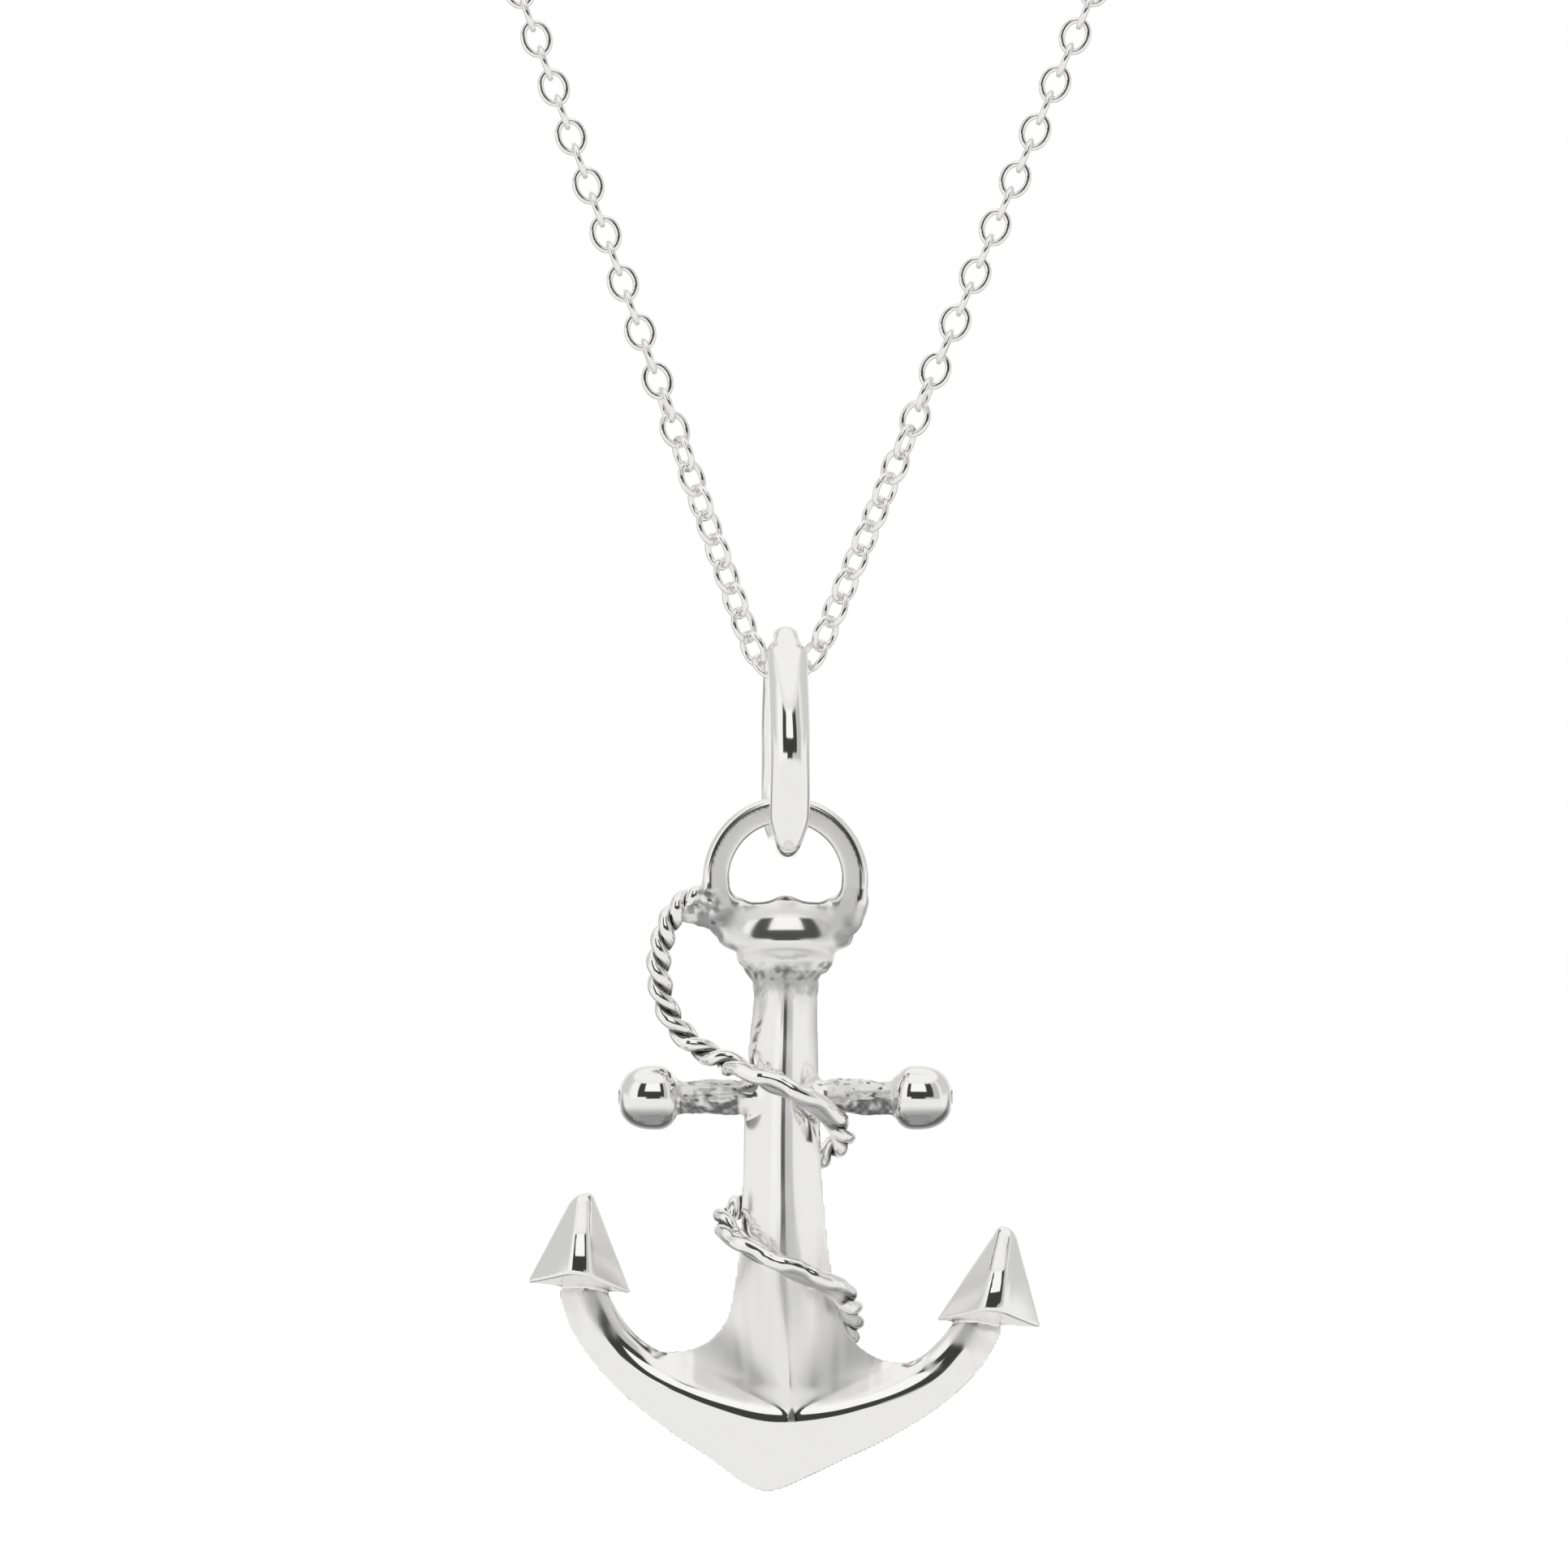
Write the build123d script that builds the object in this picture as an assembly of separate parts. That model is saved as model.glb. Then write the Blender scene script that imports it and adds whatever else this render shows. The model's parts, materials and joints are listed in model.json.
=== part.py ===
from build123d import *
import math
import os

# A silver anchor pendant on a fine cable chain, with every size in millimetres.
# +Z is up and the front faces -Y. The origin is the top of the closed chain, at
# the clasp behind the neck. The chain lies in the plane Y = 0.

os.makedirs("parts", exist_ok=True)

# Chain: one loop round the neck and under the top of the bail
CHAIN_LENGTH = 457.0            # whole loop along its centre line, with the clasp
CHAIN_WIDTH = 1.5
CHAIN_HALF_ANGLE = 21.1         # degrees between a straight strand and the loop's axis
CHAIN_LEAN = 1.6                # degrees that the loop's axis leans at the bail
CHAIN_BAIL_GAP = 0.2

# Clasp: a plain ring with a small soldered eye
CLASP_DIAMETER = 5.6
CLASP_WIRE = 1.0
CLASP_EYE_DIAMETER = 2.2
CLASP_EYE_WIRE = 0.5
CLASP_CHAIN_GAP = 0.15

# Bail: an upright oval ring whose legs swell to a wider section
BAIL_HEIGHT = 10.6
BAIL_DEPTH = 7.0
BAIL_WIRE = 1.27
BAIL_LEG_WIDTH = 1.87
BAIL_YAW = 3.0                  # degrees that the back leg is turned to the left

# Anchor ring, through which the bail's lower bend passes
RING_BORE = 5.1
RING_BAND = 1.27
RING_THICKNESS = 1.6
RING_EDGE = 0.5
RING_BAIL_GAP = 0.14

# Head: the swollen boss and collar between the ring and the shank
HEAD_TOP_DROP = 1.03            # from the ring's centre to the boss's flat top
HEAD_HEIGHT = 3.48
HEAD_WIDTH = 7.2
HEAD_DEPTH = 3.2

# Shank: a tapering bar of rounded diamond section that flares into the arms
SHANK_LENGTH = 20.48            # from the collar to the crest where the arms meet
SHANK_WIDTH = 3.92              # near its lower third
SHANK_DEPTH = 3.0

# Stock: a round crossbar with a flattened bead at each end
STOCK_DROP = 5.5                # from the collar's foot to the bar's centre line
STOCK_DIAMETER = 1.57
STOCK_SPAN = 12.62              # between the centres of the two beads
BEAD_DIAMETER = 3.07
BEAD_WIDTH = 2.86

# Arms: a crescent of kite section, turned and set a little off the shank
ARM_RIDGE_RADIUS = 10.25        # of the crest along the front and the back
ARM_INNER_WIDTH = 0.75          # from the crest in to the inner edge
ARM_OUTER_WIDTH = 1.55          # from the crest out to the outer edge
ARM_DEPTH = 2.6
ARM_SPREAD = 63.0               # degrees from the crown to a fluke
ARM_TILT = 5.0                  # degrees clockwise, seen from the front
ARM_SHIFT = 0.21                # of the crescent's centre, to the right
CROWN_DROP = 1.75               # of the crown's point below the crescent
CROWN_ANGLE = 24.0              # degrees that it takes to each side

# Flukes: blunt four-sided pyramids on the ends of the arms
FLUKE_WIDTH = 4.5
FLUKE_HEIGHT = 4.3
FLUKE_DEPTH = 3.2
FLUKE_TIP = 0.9
FLUKE_TIP_OFFSET = 0.3          # of the point, away from the shank
FLUKE_ROOT_ANGLE = 9.0          # degrees of arm that the underside blends into

# Rope: two twisted strands that hang from the ring and wind round the shank
STRAND_DIAMETER = 0.6
STRAND_SPACING = 0.57
ROPE_PITCH = 2.5
ROPE_GAP = 0.1
ROPE_SLACK = 0.25               # more room at the two sides of the shank
ROPE_LAY = -1                   # left-handed twist
ROPE_LOOP_WIDTH = 6.9           # how far left the free loop's two handles reach
ROPE_ROOT = 0.9                 # length of the handle that leaves the ring
ROPE_LOOP_EASE = 2.6            # length of the handle that leads onto the shank

# Sections of the head: how far down, and its width and depth, as shares
HEAD_SECTIONS = [
    # drop, width, depth
    (0.00, 1.00, 0.50),
    (0.16, 1.00, 0.80),
    (0.36, 0.93, 0.96),
    (0.55, 0.69, 0.97),
    (0.70, 0.585, 1.00),
    (0.85, 0.565, 0.96),
    (1.00, 0.405, 0.76),
]

# Rounding of the shank's corners, as a share of its narrower side
DIAMOND_ROUNDING = 0.2

# Sections of the shank, the last ones where it flares into the arms
SHANK_SECTIONS = [
    # drop, width, depth
    (0.000, 0.745, 0.80),
    (0.200, 0.845, 0.88),
    (0.400, 0.920, 0.95),
    (0.585, 1.005, 1.00),
    (0.707, 1.190, 1.03),
    (0.781, 1.430, 1.05),
    (0.829, 1.780, 1.05),
    (0.860, 2.240, 1.02),
    (0.908, 2.420, 0.94),
    (0.945, 1.800, 0.88),
    (0.975, 0.800, 0.84),
]

# Swelling of the bail's legs, in degrees of bend from its top and its foot
BAIL_TOP_SECTIONS = [
    # bend, share of the swelling
    (0, 0.00),
    (24, 0.30),
    (48, 0.75),
    (70, 1.00),
]
BAIL_FOOT_SECTIONS = [
    (60, 1.00),
    (40, 0.95),
    (20, 0.45),
    (0, 0.00),
]

# Winding of the rope: its angle round the shank and its drop below the stock
ROPE_WINDING = [
    # degrees from the front, share of the shank's length below the stock
    (-90, -0.1074),
    (0, -0.0308),
    (90, 0.1360),
    (180, 0.2617),
    (270, 0.3807),
    (360, 0.5160),
    (450, 0.6610),
    (540, 0.7950),
]
ROPE_WINDING_START_ANGLE = -66
ROPE_WINDING_END_ANGLE = 476
ROPE_START_ANGLE = 190.0        # on the ring, in degrees from the right

# Places worked out from the sizes above
half_angle = math.radians(CHAIN_HALF_ANGLE)
lean = math.radians(CHAIN_LEAN)
bail_radius = BAIL_WIRE / 2
chain_radius = CHAIN_WIDTH / 2
dip_radius = bail_radius + CHAIN_BAIL_GAP + chain_radius
straight_share = 2 / math.tan(half_angle)
neck_radius = (CHAIN_LENGTH + dip_radius * (straight_share - math.pi + 2 * half_angle)) / (
    straight_share + math.pi + 2 * half_angle
)
neck_to_bail = (neck_radius - dip_radius) / math.sin(half_angle)
neck_centre = Vector(0, 0, -neck_radius)
bail_top = neck_centre - Vector(math.sin(lean), 0, math.cos(lean)) * neck_to_bail
bail_line_height = BAIL_HEIGHT - BAIL_WIRE
pivot = bail_top - Vector(0, 0, bail_line_height)

# Heights in the anchor's own frame, whose origin is the pivot on the bail's foot
ring_centre_z = bail_radius + RING_BAIL_GAP - RING_BORE / 2
ring_radius = RING_BORE / 2 + RING_BAND
head_top_z = ring_centre_z - HEAD_TOP_DROP
head_foot_z = head_top_z - HEAD_HEIGHT
stock_z = head_foot_z - STOCK_DROP
crest_z = head_foot_z - SHANK_LENGTH
arm_centre = Vector(ARM_SHIFT, 0, crest_z + ARM_RIDGE_RADIUS)
arm_inner_radius = ARM_RIDGE_RADIUS - ARM_INNER_WIDTH
arm_outer_radius = ARM_RIDGE_RADIUS + ARM_OUTER_WIDTH
rope_radius = (STRAND_DIAMETER + STRAND_SPACING) / 2


def polyhedron(points, faces):
    """Solid bounded by flat faces, each given by the numbers of its points."""
    sheets = []
    for face in faces:
        corners = [points[number] for number in face]
        sheets.append(Face(Wire.make_polygon(corners, close=True)))
    return Solid(Shell(sheets))


def diamond(z, width, depth):
    """Upright rounded diamond, level at the height z, of this size once rounded."""
    narrow = min(width, depth)
    rounding = DIAMOND_ROUNDING * narrow * narrow / max(width, depth)
    side_loss = rounding * (math.hypot(width, depth) / depth - 1)
    front_loss = rounding * (math.hypot(width, depth) / width - 1)
    half_width = width / 2 + side_loss
    half_depth = depth / 2 + front_loss
    corners = [(half_width, 0), (0, half_depth), (-half_width, 0), (0, -half_depth)]
    outline = Polygon(*corners, align=None)
    return Pos(0, 0, z) * fillet(outline.vertices(), rounding)


def table_value(table, column, share):
    """Value in a column of a table of rows, straight between the rows."""
    for low, high in zip(table, table[1:]):
        if share <= high[0]:
            part = (share - low[0]) / (high[0] - low[0])
            return low[column] + (high[column] - low[column]) * max(part, 0)
    return table[-1][column]


def chain_tube():
    """The chain as one tube, open only where the clasp lies."""
    turn = math.degrees(half_angle)
    tilt = math.degrees(lean)
    clasp_left = CLASP_DIAMETER / 2 + CLASP_CHAIN_GAP
    clasp_right = CLASP_DIAMETER / 2 + CLASP_EYE_DIAMETER - CLASP_EYE_WIRE + CLASP_CHAIN_GAP
    left_end = 90 + math.degrees(clasp_left / neck_radius)
    right_end = 90 - math.degrees(clasp_right / neck_radius)
    left_leave = 180 + turn - tilt
    right_leave = -turn - tilt
    loop_plane = Plane.XZ
    neck = (neck_centre.X, neck_centre.Z)
    dip = (bail_top.X, bail_top.Z)
    left_arc = loop_plane * CenterArc(neck, neck_radius, left_end, left_leave - left_end)
    dip_arc = loop_plane * CenterArc(dip, dip_radius, left_leave, right_leave + 360 - left_leave)
    right_arc = loop_plane * CenterArc(neck, neck_radius, right_leave, right_end - right_leave)
    left_strand = Line(left_arc @ 1, dip_arc @ 0)
    right_strand = Line(dip_arc @ 1, right_arc @ 0)
    path = Wire([left_arc.edge(), left_strand.edge(), dip_arc.edge(), right_strand.edge(), right_arc.edge()])
    section = Plane(left_arc @ 0, z_dir=left_arc % 0) * Circle(chain_radius)
    tube = sweep(section, path=path)
    expected = math.pi * chain_radius ** 2 * path.length
    print("chain tube length", round(path.length, 2), "mm")
    print("chain tube volume", round(tube.volume, 2), "against", round(expected, 2))
    print("chain radii", round(neck_radius, 2), "and", round(dip_radius, 3), "mm")
    return tube


def wire_ring(centre_x, diameter, wire, side):
    """Upright ring of round wire, turned from a section on that side of it."""
    bend = (diameter - wire) / 2
    start = Plane((centre_x + side * bend, 0, 0), x_dir=(side, 0, 0), z_dir=(0, 0, 1))
    axis = Axis((centre_x, 0, 0), (0, 1, 0))
    return revolve(start * Circle(wire / 2), axis=axis, revolution_arc=360)


def clasp_ring():
    """Closed ring at the back of the neck with the eye that the chain ends in."""
    eye_x = (CLASP_DIAMETER + CLASP_EYE_DIAMETER) / 2 - CLASP_EYE_WIRE
    ring = wire_ring(0, CLASP_DIAMETER, CLASP_WIRE, -1)
    return ring + wire_ring(eye_x, CLASP_EYE_DIAMETER, CLASP_EYE_WIRE, 1)


def bail_ring():
    """Oval ring lofted down one leg, and its mirror image as the other leg."""
    bend = (BAIL_DEPTH - BAIL_WIRE) / 2
    leg = bail_line_height - 2 * bend
    swelling = BAIL_LEG_WIDTH - BAIL_WIRE
    sections = []

    def add_section(y, z, direction, share):
        place = Plane((0, y, z), x_dir=(1, 0, 0), z_dir=direction)
        sections.append(place * Ellipse(bail_radius + swelling * share / 2, bail_radius))

    for angle, share in BAIL_TOP_SECTIONS:
        turn = math.radians(angle)
        top_z = bend * (math.cos(turn) - 1)
        add_section(bend * math.sin(turn), top_z, (0, math.cos(turn), -math.sin(turn)), share)
    add_section(bend, -bend, (0, 0, -1), 1)
    add_section(bend, -bend - leg, (0, 0, -1), 1)
    for angle, share in BAIL_FOOT_SECTIONS:
        turn = math.radians(angle)
        foot_z = -bend - leg - bend * math.cos(turn)
        add_section(bend * math.sin(turn), foot_z, (0, -math.cos(turn), -math.sin(turn)), share)
    half = loft(sections)
    whole = half + mirror(half, about=Plane.XZ)
    return Pos(*bail_top) * Rot(0, 0, BAIL_YAW) * whole


def anchor_ring():
    band_middle = ring_radius - RING_BAND / 2
    band = Pos(band_middle, 0, ring_centre_z) * RectangleRounded(RING_BAND, RING_THICKNESS, RING_EDGE)
    return revolve(band, axis=Axis((0, 0, ring_centre_z), (0, 1, 0)), revolution_arc=360)


def anchor_head():
    """Boss and collar, lofted down through level ellipses."""
    sections = []
    for drop, width, depth in HEAD_SECTIONS:
        oval = Ellipse(HEAD_WIDTH * width / 2, HEAD_DEPTH * depth / 2)
        sections.append(Pos(0, 0, head_top_z - HEAD_HEIGHT * drop) * oval)
    return loft(sections)


def anchor_shank():
    sections = []
    for drop, width, depth in SHANK_SECTIONS:
        sections.append(diamond(head_foot_z - SHANK_LENGTH * drop, SHANK_WIDTH * width, SHANK_DEPTH * depth))
    return loft(sections, ruled=True)


def anchor_stock():
    """Crossbar with a bead at each end, flattened where the bar enters it."""
    bar = Pos(0, 0, stock_z) * Rot(0, 90, 0) * Cylinder(STOCK_DIAMETER / 2, STOCK_SPAN)
    stock = bar
    for side in (-1, 1):
        bead = Sphere(BEAD_DIAMETER / 2) & Box(BEAD_WIDTH, BEAD_DIAMETER, BEAD_DIAMETER)
        stock = stock + Pos(side * STOCK_SPAN / 2, 0, stock_z) * bead
    return stock


def arm_point(angle, radius, y):
    """Point on the crescent, before its tilt, at an angle from the crown."""
    turn = math.radians(angle)
    return Vector(radius * math.sin(turn), y, -radius * math.cos(turn))


def arm_section(angle):
    """Kite across the arm: inner edge, front crest, outer edge and back crest."""
    side = 1 if angle > 0 else -1
    front = -ARM_DEPTH / 2
    corners = [
        arm_point(angle, arm_inner_radius, 0),
        arm_point(angle, ARM_RIDGE_RADIUS, front * side),
        arm_point(angle, arm_outer_radius, 0),
        arm_point(angle, ARM_RIDGE_RADIUS, -front * side),
    ]
    return Wire.make_polygon(corners, close=True)


def fluke(side):
    """Pyramid on the end of one arm, whose underside runs into the arm."""
    root = arm_point(side * ARM_SPREAD, (arm_inner_radius + arm_outer_radius) / 2, 0)

    def level(centre, width, depth):
        corners = [
            centre + Vector(-side * width / 2, 0, 0),
            centre + Vector(0, -side * depth / 2, 0),
            centre + Vector(side * width / 2, 0, 0),
            centre + Vector(0, side * depth / 2, 0),
        ]
        return Wire.make_polygon(corners, close=True)

    point = root + Vector(side * FLUKE_TIP_OFFSET, 0, FLUKE_HEIGHT)
    tip = level(point, FLUKE_TIP, FLUKE_TIP)
    base = level(root, FLUKE_WIDTH, FLUKE_DEPTH)
    under = arm_section(side * (ARM_SPREAD - FLUKE_ROOT_ANGLE))
    return Solid.make_loft([tip, base, under], ruled=True)


def crown_point():
    """Pointed bill under the crescent, in the slope of its lower faces."""
    crest = ARM_DEPTH / 2
    points = [
        arm_point(-CROWN_ANGLE, arm_outer_radius, 0),
        arm_point(0, arm_outer_radius + CROWN_DROP, 0),
        arm_point(CROWN_ANGLE, arm_outer_radius, 0),
        arm_point(0, ARM_RIDGE_RADIUS, -crest),
        arm_point(0, ARM_RIDGE_RADIUS, crest),
        arm_point(0, arm_inner_radius, 0),
    ]
    faces = [(0, 1, 3), (1, 2, 3), (1, 0, 4), (2, 1, 4), (0, 3, 5), (3, 2, 5), (4, 0, 5), (2, 4, 5)]
    return polyhedron(points, faces)


def anchor_arms():
    """Crescent, crown and flukes, tilted together."""
    reach = ARM_SPREAD - FLUKE_ROOT_ANGLE
    start = Face(arm_section(-reach))
    arms = revolve(start, axis=Axis((0, 0, 0), (0, -1, 0)), revolution_arc=2 * reach)
    arms = arms + [fluke(-1), fluke(1), crown_point()]
    return Pos(*arm_centre) * Rot(0, ARM_TILT, 0) * arms


def anchor():
    body = anchor_shank() + [anchor_ring(), anchor_head(), anchor_stock(), anchor_arms()]
    return Pos(*pivot) * body


def winding_point(angle):
    """Centre of the rope where it winds round the shank."""
    rows = ROPE_WINDING
    place = (angle - rows[0][0]) / (rows[1][0] - rows[0][0])
    row = min(int(place), len(rows) - 2)
    part = place - row
    before = rows[max(row - 1, 0)][1]
    low = rows[row][1]
    high = rows[row + 1][1]
    after = rows[min(row + 2, len(rows) - 1)][1]
    curve = 2 * before - 5 * low + 4 * high - after
    cubic = 3 * (low - high) + after - before
    below_stock = low + 0.5 * part * (high - before + part * (curve + part * cubic))
    drop = (STOCK_DROP + below_stock * (SHANK_LENGTH - STOCK_DROP)) / SHANK_LENGTH
    clear = rope_radius + ROPE_GAP
    half_width = SHANK_WIDTH * table_value(SHANK_SECTIONS, 1, drop) / 2 + clear + ROPE_SLACK
    half_depth = SHANK_DEPTH * table_value(SHANK_SECTIONS, 2, drop) / 2 + clear
    turn = math.radians(angle)
    height = head_foot_z - SHANK_LENGTH * drop
    return Vector(half_width * math.sin(turn), -half_depth * math.cos(turn), height)


def rope_line():
    """Close-set centre points of the rope: the free loop, then the winding."""
    start_turn = math.radians(ROPE_START_ANGLE)
    outward = Vector(math.cos(start_turn), 0, math.sin(start_turn))
    start = Vector(0, 0, ring_centre_z) + outward * (ring_radius + ROPE_GAP)
    land = winding_point(ROPE_WINDING_START_ANGLE)
    ahead = (winding_point(ROPE_WINDING_START_ANGLE + 1) - land).normalized()
    upper_handle = Vector(-ROPE_LOOP_WIDTH, 0, start.Z - 0.16 * (start.Z - land.Z))
    lower_handle = Vector(-ROPE_LOOP_WIDTH, 0, land.Z + 0.1 * (start.Z - land.Z))
    lead_in = land - ahead * ROPE_LOOP_EASE
    handles = [start, start + outward * ROPE_ROOT, upper_handle, lower_handle, lead_in, land]
    points = []
    for step in range(60):
        share = step / 60
        ladder = handles
        while len(ladder) > 1:
            ladder = [low + (high - low) * share for low, high in zip(ladder, ladder[1:])]
        points.append(ladder[0])
    for angle in range(ROPE_WINDING_START_ANGLE, ROPE_WINDING_END_ANGLE + 1, 2):
        points.append(winding_point(angle))
    return points


def even_points(points, spacing):
    """Points of a line set again at an even spacing, and the line's length."""
    lengths = [(high - low).length for low, high in zip(points, points[1:])]
    total = sum(lengths)
    count = max(round(total / spacing), 2)
    even = [points[0]]
    walked = 0
    number = 0
    for step in range(1, count):
        target = total * step / count
        while walked + lengths[number] < target:
            walked += lengths[number]
            number += 1
        part = (target - walked) / lengths[number]
        even.append(points[number] + (points[number + 1] - points[number]) * part)
    even.append(points[-1])
    return even, total


def rope():
    """Two strands laid round each other, as one twisted solid of flat facets."""
    steps_a_pitch = 12
    line, length = even_points(rope_line(), ROPE_PITCH / steps_a_pitch)
    lobe_angles = (-108, -65, -22, 22, 65, 108)
    strand_radius = STRAND_DIAMETER / 2
    outline = []
    for side, shift in ((0, STRAND_SPACING / 2), (180, -STRAND_SPACING / 2)):
        for angle in lobe_angles:
            turn = math.radians(angle + side)
            outline.append((shift + strand_radius * math.cos(turn), strand_radius * math.sin(turn)))
    count = len(outline)
    points = []
    across = Vector(0, 1, 0)
    for number, centre in enumerate(line):
        ahead = (line[min(number + 1, len(line) - 1)] - line[max(number - 1, 0)]).normalized()
        across = (across - ahead * across.dot(ahead)).normalized()
        beside = ahead.cross(across)
        twist = ROPE_LAY * 2 * math.pi * number / steps_a_pitch
        for u, v in outline:
            along_u = u * math.cos(twist) - v * math.sin(twist)
            along_v = u * math.sin(twist) + v * math.cos(twist)
            points.append(centre + across * along_u + beside * along_v)
    faces = []
    for ring in range(len(line) - 1):
        for number in range(count):
            low = ring * count + number
            low_next = ring * count + (number + 1) % count
            faces.append((low, low_next, low + count))
            faces.append((low_next, low_next + count, low + count))
    last = (len(line) - 1) * count
    half = count // 2
    for first in (0, last):
        middle = first + half
        end = first + count - 1
        waist = [(middle - 1, middle, end), (middle - 1, end, first)]
        lobes = []
        for start in (first, first + half):
            lobes += [(start, start + number, start + number + 1) for number in range(1, half - 1)]
        faces += waist + lobes
    print("rope length", round(length, 2), "mm,", len(faces), "facets")
    return Pos(*pivot) * polyhedron(points, faces)


nodes = {
    "chain": chain_tube(),
    "clasp": clasp_ring(),
    "bail": bail_ring(),
    "anchor": anchor(),
    "rope": rope(),
}
for name, shape in nodes.items():
    export_step(shape, "parts/" + name + ".step")
    print(name, round(shape.volume, 3), "cubic mm")
print("neck centre", neck_centre, "bail top", bail_top, "pivot", pivot)
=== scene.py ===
import json
import math

import bpy
import numpy as np
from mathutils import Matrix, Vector


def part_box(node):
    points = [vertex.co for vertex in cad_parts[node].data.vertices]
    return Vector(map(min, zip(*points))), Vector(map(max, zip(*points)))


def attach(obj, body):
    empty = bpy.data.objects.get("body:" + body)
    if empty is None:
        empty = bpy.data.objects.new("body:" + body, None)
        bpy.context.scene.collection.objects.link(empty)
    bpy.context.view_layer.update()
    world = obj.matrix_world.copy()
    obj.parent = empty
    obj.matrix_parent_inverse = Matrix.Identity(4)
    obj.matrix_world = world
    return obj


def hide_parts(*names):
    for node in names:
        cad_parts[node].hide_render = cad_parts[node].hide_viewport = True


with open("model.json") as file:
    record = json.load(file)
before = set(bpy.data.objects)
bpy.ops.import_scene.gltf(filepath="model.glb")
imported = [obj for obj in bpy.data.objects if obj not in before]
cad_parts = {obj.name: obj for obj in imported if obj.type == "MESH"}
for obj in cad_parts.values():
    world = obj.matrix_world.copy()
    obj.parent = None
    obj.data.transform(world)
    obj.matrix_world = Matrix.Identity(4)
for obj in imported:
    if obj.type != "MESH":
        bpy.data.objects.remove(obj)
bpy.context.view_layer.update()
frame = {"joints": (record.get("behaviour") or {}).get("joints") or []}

# A silver anchor pendant on a cable chain, in metres. The pieces are worked out in
# millimetres from the pivot where the anchor hangs on the bail's foot: x to the
# right, y to the back, z up.

MM = 0.001
places = {joint["name"]: Vector(joint["pos_m"]) for joint in frame["joints"]}
pivot = places["anchor_swing"]
chain_hinge = places["bail_swing"]

# The picture: its width at the pendant, and where its centre lies from the pivot
PICTURE_WIDTH = 72.4
PICTURE_CENTRE_X = -0.07
PICTURE_CENTRE_Z = 2.62
CAMERA_DISTANCE = 500.0
SENSOR_WIDTH = 36.0
FLOOR_DEPTH = 91.0  # below the pivot, and 60 below the crown's point
FLOOR_RADIUS = 4000.0
FLOOR_SIDES = 64

# Anchor ring and head
RING_Z = -1.775
RING_MIDDLE_RADIUS = 3.19
RING_HALF_BAND = 0.64
RING_HALF_THICKNESS = 0.82
RING_ROUNDING = 0.3
RING_SWELL = 0.07  # of its face, above a flat one
HOLE_RADIUS = 2.56
HOLE_FLOOR_Z = -2.83  # the two low places of the hole's lower edge
HOLE_HUMP = 0.36
HOLE_HUMP_WIDTH = 0.62
HOLE_END_RISE = 0.5  # of the lower edge, out at the ring's band
HOLE_CORNER = 0.25  # rounding between its round part and its lower edge
HOLE_FLOOR_SCALE = 0.93  # brings the lower edge's measure close to a distance
HOLE_ROUNDING = 0.16  # of its edges in front and behind

HEAD_TOP_Z = -2.6
HEAD_BOTTOM_Z = -7.0
HEAD_POWER = 2.6  # of its section, between an oval and a rectangle
HEAD_SCALE = 0.8
BOSS_X = 0.03
BOSS_Z = -4.6  # where the boss stands out furthest
BOSS_HALF_SIZES = (3.05, 1.66, 2.1)
BOSS_HEIGHT_BELOW = 0.75
COLLAR_X = 0.02
COLLAR_Z = -5.38
COLLAR_HALF_SIZES = (2.18, 1.72, 0.8)

# Shank, stock and beads. Depths are counted downwards from the pivot.
SHANK_TOP_Z = -6.0
SHANK_FOOT_Z = -26.75
RIDGE_ROUNDING = 0.5
RIDGE_SHARPER = 0.36  # taken off that rounding at the crown
RIDGE_SHARPER_DEPTHS = (20, 26.5)
RIDGE_LEFT = 0.12  # how far the ridge wanders to the left, and then right
RIDGE_LEFT_DEPTHS = (7, 14)
RIDGE_RIGHT = 0.38
RIDGE_RIGHT_DEPTHS = (20, 26)
SHANK_ROUNDNESS = 1.1  # 1 for flat faces
FLARE_ROUNDNESS = 0.7  # at the crown, where the faces are hollow
FLARE_DEPTHS = (19, 25.5)
STOCK_Z = -11.84
STOCK_RADIUS = 0.785
BEAD_X = 6.31
BEAD_LEAN = 0.3  # of its fullest part, towards the shank
BEAD_HALF_WIDTH = 1.43
BEAD_RADIUS = 1.52
BEAD_POWERS = (2.5, 2.3)  # of its length and of its width
PIT_Y = -0.4  # the small pit in the end of each bead
PIT_RISE = 0.02
PIT_HALF_SIZES = (0.18, 0.4, 0.42)

# Arms, in their own frame: tilted, with angles from the crown
ARM_CENTRE_X = 0.21
ARM_CENTRE_Z = -16.56
ARM_TILT = math.radians(5)
ARM_EDGE = 0.05  # rounding of the arms' upper and lower edges
CREST_ROUNDING = 0.62  # in the middle, and twice as much towards the flukes
CREST_WIDENS = (24, 44)  # angles between which it grows
SHANK_FILLET = 1.5  # between the shank and the arms' upper faces
FILLET_AT_CREST = 0.16  # share of it that is left at the crest
FILLET_HEIGHTS = (0.2, 1.6)  # above the crest, where it grows
FLUKE_BASE_Z = -4.93
FLUKE_ROOT = 0.7  # how far an arm runs on inside its fluke
FLUKE_FACET = 0.28  # half the width of the facet at its top
FLUKE_FACET_WIDENS = 0.04  # for each millimetre downwards
FLUKE_FACET_SWELL = 0.3
FLUKE_FACET_SCALE = 0.87
FLUKE_FACET_BLEND = 0.16
FLUKE_EDGE = 0.04  # cut off the side edges
FLUKE_ROUNDING = 0.14
FLUKE_BASE_RISE = 0.38  # of the base, towards the front and the back
FLUKE_BASE_LEAN = 0.02
FLUKE_TIP_LEAN = 0.3
FLUKE_TIP_ROUNDING = 0.4

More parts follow.
